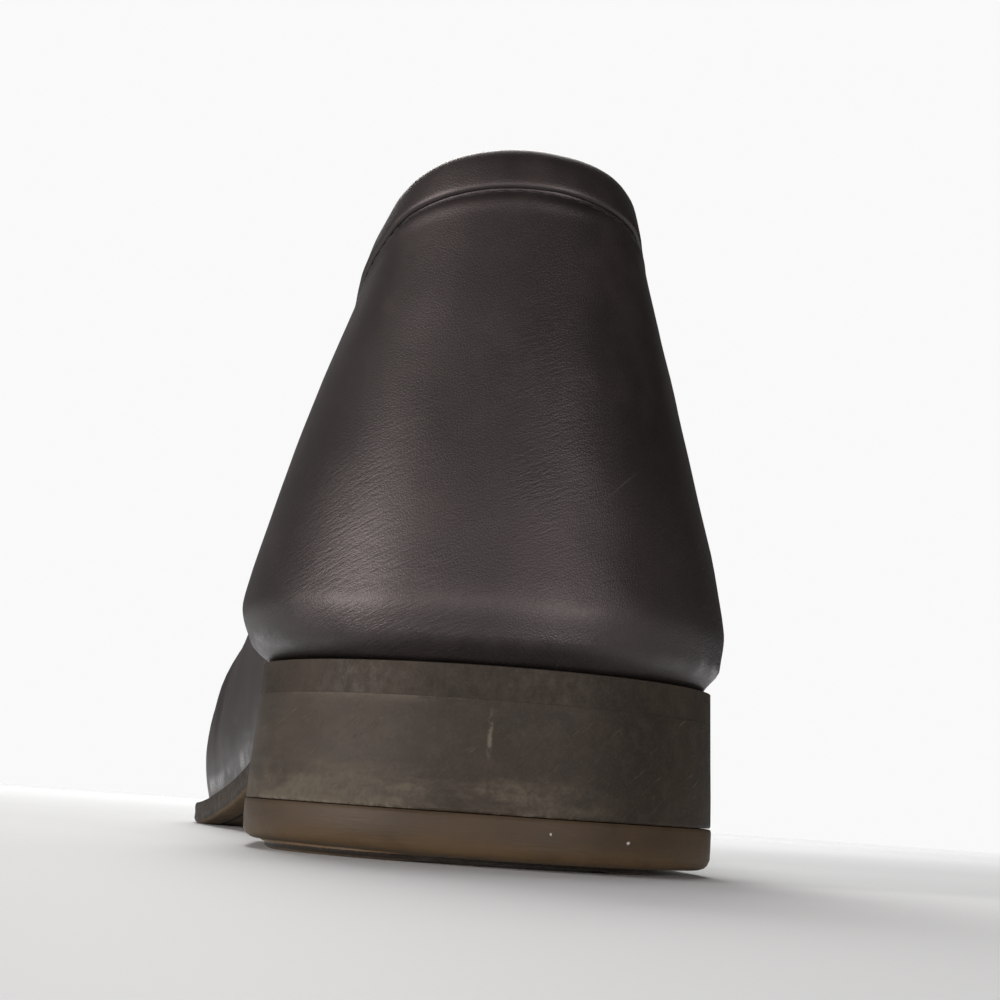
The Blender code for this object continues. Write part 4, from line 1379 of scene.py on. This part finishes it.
def build_heel_stack():
    low, high = LIFT_TOP + HEEL_GAPS[0], SOLE["bottom"](0) - HEEL_GAPS[1]
    base = HEEL_BASE_EDGE - HEEL_STEP
    points = []
    for share, past in HEEL_SECTION:
        loop = heel_loop(base + (HEEL_TOP_EDGE - base) * share + past)
        points += raised(loop, low + (high - low) * share)
    faces = tube_faces(len(HEEL_SECTION), len(loop))
    piece("heel_block", points, faces, HEEL_LEATHER, "heel_leather", ["heel_stack"], SHARP)


# Section of the top lift: height, distance past its edge, and what wear takes off it
LIFT_SECTION = (
    (1.00, -2.2, 1.3),
    (1.05, -1.5, 1.3),
    (1.28, -0.8, 1.15),
    (1.75, -0.3, 0.8),
    (2.6, 0.0, 0.35),
    (4.6, 0.0, 0.05),
    (6.4, -0.02, 0.0),
    (6.65, -0.06, 0.0),
    (6.92, -0.2, 0.0),
    (7.0, -0.8, 0.0),
)
WEAR_INWARDS, WEAR_UPWARDS = 0.7, 0.25      # shares of that wear
WEAR_TOP = 2.0                  # it takes off the height of the rows below this one only
LIFT_RIM = 3.0                  # the flat underside begins this far inside the edge


def fill_between(outer, holes, height, spacing=None):
    """A flat area inside a loop and outside some holes, as triangles. Spacing adds inner points."""
    loops = [outer, *holes]
    points = [Vector(p) for loop in loops for p in loop]
    edges, start = [], 0
    for loop in loops:
        edges += [(start + k, start + (k + 1) % len(loop)) for k in range(len(loop))]
        start += len(loop)
    if spacing:
        low, high = np.min(outer, axis=0), np.max(outer, axis=0)
        for x in np.arange(low[0], high[0], spacing):
            points += [Vector((x, y)) for y in np.arange(low[1], high[1], spacing)]
    found = delaunay_2d_cdt(points, edges, [], 0, 1e-5)
    flat, triangles = np.array([tuple(v) for v in found[0]]), found[2]
    middles = np.array([flat[list(t)].mean(axis=0) for t in triangles])
    inside = within_loop(middles, outer)
    for hole in holes:
        inside &= ~within_loop(middles, hole)
    return [(x, y, height) for x, y in flat], [tuple(t) for t, keep in zip(triangles, inside) if keep]


def within_loop(places, loop):
    """Which plan points lie inside a closed loop."""
    loop = np.asarray(loop)
    after = np.roll(loop, -1, axis=0)
    inside = np.zeros(len(places), bool)
    for (x0, y0), (x1, y1) in zip(loop, after):
        crosses = (y0 > places[:, 1]) != (y1 > places[:, 1])
        if y0 != y1:
            inside ^= crosses & (places[:, 0] < (x1 - x0) * (places[:, 1] - y0) / (y1 - y0) + x0)
    return inside


def tap_loop(distance, steps=10):
    """The kidney outline of the tap where it lies on the heel."""
    half = list(TAP_HALF)
    whole = half + [(-x, y) for x, y in reversed(half[1:-1])]
    outline = spline(list(reversed(whole)), closed=True, steps=steps)
    return np.array([on_heel(p) for p in offset_loop(outline, [distance] * len(outline))])


def on_heel(point):
    """A point of the tap's own frame, turned towards the worn outer back corner of the heel."""
    x, y = point
    cos, sin = math.cos(TAP_TURN), math.sin(TAP_TURN)
    return (TAP_CENTRE[0] + x * cos - y * sin, TAP_CENTRE[1] + x * sin + y * cos)


def disc_loop(centre, radius, count=28):
    return [(centre[0] + radius * math.cos(t), centre[1] - radius * math.sin(t)) for t in turns(count)]


WELD = 0.002                # points of a welded piece that lie this close are joined


def welded(name, parts, finish, slot, replaced, sharp):
    """A closed piece from parts whose edges meet."""
    obj = piece(name, *join(parts), finish, slot, replaced, closed=False)
    mend(obj.data, WELD)
    obj.data.set_sharp_from_angle(angle=math.radians(sharp))


def build_top_lift():
    """Worn rubber base of the heel with a pocket for the tap."""
    wear = heel_wear()
    rows = []
    for height, past, taken in LIFT_SECTION:
        loop = heel_loop(HEEL_BASE_EDGE + past - WEAR_INWARDS * taken * wear)
        rows.append(raised(loop, height + WEAR_UPWARDS * wear * taken * (height < WEAR_TOP)))
    count = len(wear)
    sides = [point for row in rows for point in row]
    top = (len(rows) - 1) * count
    side_faces = [*grid_faces(len(rows), count, closed=True), tuple(range(top, top + count))]
    pocket = tap_loop(GAP)
    inner = heel_loop(HEEL_BASE_EDGE - LIFT_RIM)
    ceiling = TAP_THICKNESS + GAP
    parts = (
        (sides, side_faces),
        (rows[0] + raised(inner, LIFT_BOTTOM), grid_faces(2, count, closed=True)),
        fill_between(inner, [pocket], LIFT_BOTTOM),
        (raised(pocket, LIFT_BOTTOM) + raised(pocket, ceiling), grid_faces(2, len(pocket), closed=True)),
        fill_between(pocket, [], ceiling),
    )
    welded("heel_lift", parts, RUBBER, "heel_rubber", ["top_lift"], SHARP)


# Worn ribs of the tap in its own frame: middle, half length, direction in degrees
TAP_RIBS = (
    (4.0, -3.6, 14.0, 4),
    (3.0, -5.2, 13.0, 3),
    (6.0, -6.9, 10.0, 2),
    (8.0, -8.6, 8.0, 2),
    (9.0, -10.4, 5.5, 1),
    (-9.0, -2.6, 8.0, -8),
    (-10.0, -4.3, 6.0, -6),
)
RIB_DEPTH, RIB_WIDTH, RIB_RUNOUT = 0.38, 0.26, 4.0
GRIT_DEPTH, GRIT_FREQUENCY = 0.05, 0.9

# Worn rear edge of the tap: its depth, the distance inwards where it runs out, its ends across the tap,
# and the offset from the middle where it runs twice as far in
BEVEL_DEPTH, BEVEL_RUN = 0.62, (0.4, 3.4)
BEVEL_START, BEVEL_END = (-3, 7), (22, 27)
BEVEL_SPREAD = 20.0


def in_tap(places):
    """Plan points in the tap's own frame."""
    turn = np.array(((math.cos(TAP_TURN), math.sin(TAP_TURN)), (-math.sin(TAP_TURN), math.cos(TAP_TURN))))
    return (np.asarray(places) - np.array(TAP_CENTRE)) @ turn.T


def tap_bevel(places):
    """How far the rear edge is worn off on its medial half."""
    x, y = in_tap(places).T
    ends = np.array(TAP_HALF[:4])
    edge = np.interp(np.abs(x), ends[:, 0], ends[:, 1])
    slope = 1 + (x / BEVEL_SPREAD) ** 2
    inwards = np.clip(y - edge, 0, None) / slope
    ends = fade(x, *BEVEL_START) * (1 - fade(x, *BEVEL_END))
    return BEVEL_DEPTH * (1 - fade(inwards, *BEVEL_RUN)) * ends


def tap_relief(places):
    """Depth of the worn ribs and of the grit under the tap."""
    own = in_tap(places)
    depth = np.zeros(len(own))
    for x, y, half, degrees in TAP_RIBS:
        along = np.array((math.cos(math.radians(degrees)), math.sin(math.radians(degrees))))
        run = (own - (x, y)) @ along
        off = (own - (x, y)) @ np.array((-along[1], along[0]))
        ends = 1 - fade(np.abs(run), half - RIB_RUNOUT, half)
        depth = np.maximum(depth, RIB_DEPTH * ends * bell(off / RIB_WIDTH))
    grit = np.array([noise.noise(Vector((x, y, 0.0)) * GRIT_FREQUENCY) for x, y in places])
    return depth + GRIT_DEPTH * np.clip(grit, 0, 1)


# Section of the tap, from its underside up: distance past its outline and height
TAP_SECTION = ((-0.9, 0.0), (-0.45, 0.12), (-0.12, 0.42), (0, 0.9), (0, TAP_THICKNESS))
TAP_SPACING = 0.42              # between points of its underside


def build_tap():
    """Nailed kidney plate with worn ribs under it."""
    holes = [disc_loop(on_heel(place), NAIL_HOLE_RADIUS) for place in NAIL_PLACES]
    loops = [tap_loop(past) for past, _ in TAP_SECTION]
    count = len(loops[0])
    sides = []
    for loop, (_, height) in zip(loops, TAP_SECTION):
        sides += raised(loop, np.maximum(height, tap_bevel(loop)))
    under, under_faces = fill_between(loops[0], holes, 0.0, TAP_SPACING)
    flat = np.array(under)[:, :2]
    near_edge = np.zeros(len(flat), bool)
    near_edge[: count + sum(len(h) for h in holes)] = True
    depth = np.maximum(np.where(near_edge, 0.0, tap_relief(flat)), tap_bevel(flat))
    parts = [
        (sides, grid_faces(len(loops), count, closed=True)),
        (raised(flat, depth), under_faces),
        fill_between(loops[-1], holes, TAP_THICKNESS),
    ]
    for hole in holes:
        bore = raised(hole, 0.0) + raised(hole, TAP_THICKNESS)
        parts.append((bore, grid_faces(2, len(hole), closed=True)))
    welded("heel_tap_worn", parts, TAP_RUBBER, "tap_rubber", ["heel_tap"], sharp=50)


# Section of a nail's head, from its underside up: radius and height
NAIL_SECTION = ((1.15, 0.5), (1.42, 0.54), (1.56, 0.66), (1.6, 0.9), (1.6, 1.7))


def build_nails():
    """Flattened nail heads in the tap."""
    sides = 24
    faces = tube_faces(len(NAIL_SECTION), sides)
    for number, place in enumerate(NAIL_PLACES, 1):
        points = []
        for radius, height in NAIL_SECTION:
            points += raised(disc_loop(on_heel(place), radius, sides), height)
        piece(f"nail_{number}", points, faces, BRASS, "nail_brass", [f"heel_nail_{number}"], sharp=60)


# Lace and tassels

# Turns of the knot: offset from the middle line, half length along the shoe, half height
KNOT_TURNS = ((-2.45, 3.2, 1.9), (0.0, 3.6, 2.05), (2.45, 3.2, 1.9))
KNOT_LIFT, KNOT_CORD = 1.55, 1.28
KNOT_SLANT = 0.7                        # sideways lean of a turn
LACE_TAPER = (0.5, 0.72, 0.92)          # the lace narrows where it goes into its slit
HIDDEN_END = (3.0, -2.2, -0.6)          # past the slit, along the shoe and above the vamp
CROSSING_Y = KNOT_Y + 1.6               # where one lace passes over the other inside the knot
CROSSING_LIFT = {LATERAL: 1.5, MEDIAL: 0.2}
HELD_END = (0.3, 0.8)                   # of the lace inside its tassel: across and along
LACE_STEP = 1.9                         # between its points
SLIT_CENTRE, SLIT_HALF = (2.0, -1.6), (1.5, 3.6)    # from the lace's first point: across and along the shoe
SLIT_LIFT, SLIT_CORD = 0.35, 0.55


def slit_offset(side):
    return SLIT_SHARE * half_width(LACE_BAR[0][1], side)


def lace_route(side):
    """From the slit over the vamp, through the knot and on to the tassel of the other side."""
    lift = LACE_DIAMETER / 2 + LACE_CLEARANCE
    slit = slit_offset(side)
    outwards = slit - BAR_END_OFFSET
    past, back, above = HIDDEN_END
    route = [on_vamp(side * (slit + past), LACE_BAR[0][1] + back, above)]
    route += [on_vamp(side * (BAR_END_OFFSET + outwards * share), y, lift) for share, y in LACE_BAR]
    route.append(on_vamp(0.0, CROSSING_Y, lift + CROSSING_LIFT[side]))
    route += [on_vamp(-side * offset, y, lift) for offset, y in LACE_END]
    route.append(on_vamp(-side * (TASSEL_START[0] + HELD_END[0]), TASSEL_START[1] + HELD_END[1], lift))
    return even_steps(spline(route, closed=False, steps=12), LACE_STEP)


def build_lace(side, tassel):
    route = lace_route(side)
    data = bpy.data.curves.new(f"lace_{side_name(side)}", "CURVE")
    data.dimensions = "3D"
    data.bevel_depth = LACE_DIAMETER / 2 * MM
    data.bevel_resolution = 5
    data.use_fill_caps = True
    data.materials.append(CALF_TRIM)
    line = data.splines.new("POLY")
    line.points.add(len(route) - 1)
    for point, place in zip(line.points, to_row(route)):
        point.co = (*place, 1)
    for point, radius in zip(line.points, LACE_TAPER):
        point.radius = radius
    lace = add_object(data.name, data)
    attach(lace, "root")
    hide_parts(f"lace_bar_{side_name(side)}", f"lace_end_{side_name(-side)}")
    tuple(to_row(route[0]))


def ring_tube(path, radius, sides=12):
    """Points and faces of a closed tube along a loop of points."""
    path = np.asarray(path, float)
    middle = path.mean(axis=0)
    points = []
    for place, direction in zip(path, around(path)):
        out = place - middle
        out = unit(out - direction * (out @ direction))
        aside = np.cross(direction, out)
        for turn in turns(sides):
            points.append(place + (out * math.cos(turn) + aside * math.sin(turn)) * radius)
    return points, ring_faces(len(path), sides)


def build_knot():
    """Three turns of lace drawn tight over the crossing."""
    parts = []
    for x, half, rise in KNOT_TURNS:
        path = [
            on_vamp(
                x + KNOT_SLANT * math.sin(t),
                KNOT_Y + half * math.cos(t),
                KNOT_LIFT + rise * (1 + math.sin(t)),
            )
            for t in turns(48)
        ]
        parts.append(ring_tube(path, KNOT_CORD))
    piece("lace_knot_turns", *join(parts), CALF_TRIM, "black_calf", ["lace_knot"])


def build_slits():
    """Stitched slits in the quarters that the lace comes out of."""
    parts = []
    for side in (LATERAL, MEDIAL):
        x, y = side * (slit_offset(side) + SLIT_CENTRE[0]), LACE_BAR[0][1] + SLIT_CENTRE[1]
        across, along = SLIT_HALF
        path = [on_vamp(x + across * math.cos(t), y + along * math.sin(t), SLIT_LIFT) for t in turns(36)]
        parts.append(ring_tube(path, SLIT_CORD, sides=10))
    piece("lace_slits", *join(parts), CALF_TRIM, "black_calf")


# Head of a tassel along its axis: place in millimetres, half width, half thickness
TASSEL_HEAD = (
    (0.0, 1.7, 1.5),
    (0.5, 2.6, 2.3),
    (1.4, 3.5, 3.0),
    (3.0, 4.4, 3.6),
    (4.8, 4.6, 3.8),
    (6.4, 4.3, 3.5),
    (7.1, 3.75, 3.05),
    (7.4, 3.55, 2.9),
    (7.9, 3.9, 3.2),
    (8.5, 3.9, 3.2),
    (9.0, 3.5, 2.85),
    (9.4, 3.5, 2.85),
    (9.9, 3.9, 3.2),
    (10.5, 3.9, 3.2),
    (11.0, 3.4, 2.8),
    (11.6, 3.2, 2.6),
)
TASSEL_LENGTH = math.dist(TASSEL_START, TASSEL_TIP)
FRINGE_START, FRINGE_HALF_WIDTHS = 10.6, (2.9, 7.0)
STRAND_WIDTH, STRAND_THICKNESS = 1.5, 0.6
STRAND_CORNERS = np.array(((-1, -1), (1, -1), (1, 1), (-1, 1))) / 2
FRINGE_LAYERS = ((10, 2.2, 0.5), (11, 4.4, 1.4))    # strands, height over the vamp and its arch
HEAD_LIFT = 3.6                                     # of the head's middle over the clearance
STRAND_CUT, STRAND_SWAY = 1.8, 0.5                  # largest, of its length and to the side
STRAND_SPREAD, STRAND_DROOP, STRAND_RIPPLE = 0.8, 0.72, 0.25
STRAND_NARROW = 0.75                                # share of its width at its upper end


def tassel_point(side, run, aside, lift):
    """A point of a tassel that lies on the vamp: along it, across it and above it."""
    start = np.array((side * TASSEL_START[0], TASSEL_START[1]))
    tip = np.array((side * TASSEL_TIP[0], TASSEL_TIP[1]))
    along = (tip - start) / TASSEL_LENGTH
    place = start + along * run + np.array((along[1], -along[0])) * aside
    return on_vamp(place[0], place[1], lift)


def tassel_head(side):
    sides = 28
    points = []
    for run, half, thick in TASSEL_HEAD:
        for turn in turns(sides):
            lift = TASSEL_CLEARANCE + HEAD_LIFT + thick * math.sin(turn)
            points.append(tassel_point(side, run, half * math.cos(turn), lift))
    return points, tube_faces(len(TASSEL_HEAD), sides)


def tassel_strand(side, share, base_lift, arching, draw):
    """One cut strip of the fringe."""
    steps = 12
    length = TASSEL_LENGTH - FRINGE_START - draw.uniform(0.0, STRAND_CUT)
    sway, phase = draw.uniform(-STRAND_SWAY, STRAND_SWAY), draw.uniform(0, 6.28)
    narrow, wide = FRINGE_HALF_WIDTHS
    points = []
    for t in np.arange(steps + 1) / steps:
        half = narrow + (wide - narrow) * t**STRAND_SPREAD
        middle = share * half + sway * t * math.sin(3.0 * t + phase)
        droop = 1 - STRAND_DROOP * t
        ripple = STRAND_RIPPLE * math.sin(5 * t + phase) * t
        lift = (base_lift + arching * (1 - share**2)) * droop + ripple
        lift = max(lift, TASSEL_CLEARANCE + STRAND_THICKNESS / 2)
        width = STRAND_WIDTH * (STRAND_NARROW + (1 - STRAND_NARROW) * t)
        for across, up in STRAND_CORNERS:
            aside, height = middle + across * width, lift + up * STRAND_THICKNESS
            points.append(tassel_point(side, FRINGE_START + length * t, aside, height))
    return points, tube_faces(steps + 1, len(STRAND_CORNERS))


def build_tassel(side):
    draw = random.Random(7 + side)
    parts = [tassel_head(side)]
    for count, lift, arching in FRINGE_LAYERS:
        parts += [tassel_strand(side, share, lift, arching, draw) for share in np.linspace(-1, 1, count)]
    name = side_name(side)
    return piece(f"tassel_{name}_cut", *join(parts), CALF_TRIM, "black_calf", [f"tassel_{name}"], sharp=50)


# Stage

CAMERA_PLACE = np.array((-21.0, -258.0, 8.0))
CAMERA_AIM = np.array((-1.0, 20.0, 52.0))
CAMERA_LENS, CAMERA_ROLL = 70.0, math.radians(4.0)
# Flags that hold back the surroundings' light: direction, start and end of the shade,
# and the light out of it and in it
FLAGS = (
    ((0.95, -0.30, -0.35), -0.15, 0.45, 0.17, 0.005),
    ((0.0, -0.75, 0.66), 0.50, 0.85, 1.0, 0.2),
)
COUNTER = (0, -0.12, 0.05)      # where the lights behind the shoe aim, in metres
# Lights: name, place and aim in metres, size in metres, power in watts, colour
LIGHTS = (
    ("key", (-1.30, -0.62, 0.14), COUNTER, 0.56, 17, (1.0, 0.93, 0.90)),
    ("strip", (-0.42, -1.38, 0.14), COUNTER, (1.5, 0.26), 7.5, (1.0, 0.93, 0.91)),
    ("back", (0.66, -1.24, 0.12), COUNTER, 0.40, 7.5, (1.0, 0.93, 0.91)),
    ("front", (-0.15, 1.0, 0.95), (0, 0.05, 0.04), 0.7, 10, (1.0, 0.97, 0.94)),
    ("top", (0.0, 0.70, 1.40), (0, 0.0, 0.0), 1.2, 10, (1.0, 0.97, 0.95)),
)
LIT_COLOUR, SHOWN_COLOUR = (1.0, 0.94, 0.92, 1), (0.95, 0.95, 0.95, 1)     # surroundings as light and as seen
FLOOR_REACH = 6.0               # metres from the shoe to each side


def build_camera():
    data = bpy.data.cameras.new("camera")
    data.lens = CAMERA_LENS
    data.sensor_width = 36.0
    data.clip_start = 0.01
    camera = add_object("camera", data)
    place, aim = Vector(to_row(CAMERA_PLACE)), Vector(to_row(CAMERA_AIM))
    turn = (aim - place).to_track_quat("-Z", "Y").to_matrix().to_4x4()
    camera.matrix_world = Matrix.Translation(place) @ turn @ Matrix.Rotation(CAMERA_ROLL, 4, "Z")
    bpy.context.scene.camera = camera


def area_light(name, place, aim, size, power, colour):
    """A soft light: a disc of a diameter, or a panel of a width and a height."""
    data = bpy.data.lights.new(name, "AREA")
    data.shape = "RECTANGLE" if np.ndim(size) else "DISK"
    data.size, data.size_y = np.broadcast_to(size, 2)
    data.energy = power
    data.color = colour
    light = add_object(name, data)
    light.location = place
    light.rotation_euler = (Vector(aim) - Vector(place)).to_track_quat("-Z", "Y").to_euler()


def build_world():
    """Pale surroundings: full brightness to the camera, dim as light, and dimmer still where flags stand."""
    world = bpy.data.worlds.new("studio")
    n = Nodes(world, "Generated")
    shades = []
    for direction, start, end, full, left in FLAGS:
        towards = n.node("VectorMath", {0: n.coords, 1: direction}, "Value", operation="DOT_PRODUCT")
        shades.append(n.band(towards, start, end, full, left))
    lit = n.node("Background", {"Color": LIT_COLOUR, "Strength": n.times(*shades)}, 0)
    shown = n.tree.nodes["Background"]
    n.feed(shown.inputs["Color"], SHOWN_COLOUR)
    seen = n.node("LightPath", {}, "Is Camera Ray")
    both = n.node("MixShader", {"Fac": seen, 1: lit, 2: shown.outputs[0]}, 0)
    n.feed(n.tree.nodes["World Output"].inputs["Surface"], both)
    bpy.context.scene.world = world


def build_stage():
    mesh = bpy.data.meshes.new("floor")
    corners = [(x * FLOOR_REACH, y * FLOOR_REACH, 0) for x, y in ((-1, -1), (1, -1), (1, 1), (-1, 1))]
    mesh.from_pydata(corners, [], [(0, 1, 2, 3)])
    mesh.materials.append(floor_material("floor_pale"))
    add_object("floor", mesh)
    for light in LIGHTS:
        area_light(*light)
    build_world()
    bpy.context.scene.view_settings.view_transform = "Standard"


build_camera()
for lace_side in (LATERAL, MEDIAL):
    build_lace(lace_side, build_tassel(-lace_side))
build_knot()
upper_tree, upper_ring, upper_grid, upper_seams = build_upper()
build_lining()
edge_line, edge_normals, edge_over = edge_frames(upper_tree)
build_binding(edge_line, edge_normals, edge_over)
build_collar_stitches(upper_tree, edge_line, edge_over)
build_apron_stitches(upper_tree, upper_ring, upper_grid, upper_seams)
build_quarter_stitches(upper_tree)
build_slits()
build_tongue()
build_outsole()
build_insole()
build_heel_stack()
build_top_lift()
build_tap()
build_nails()
build_stage()
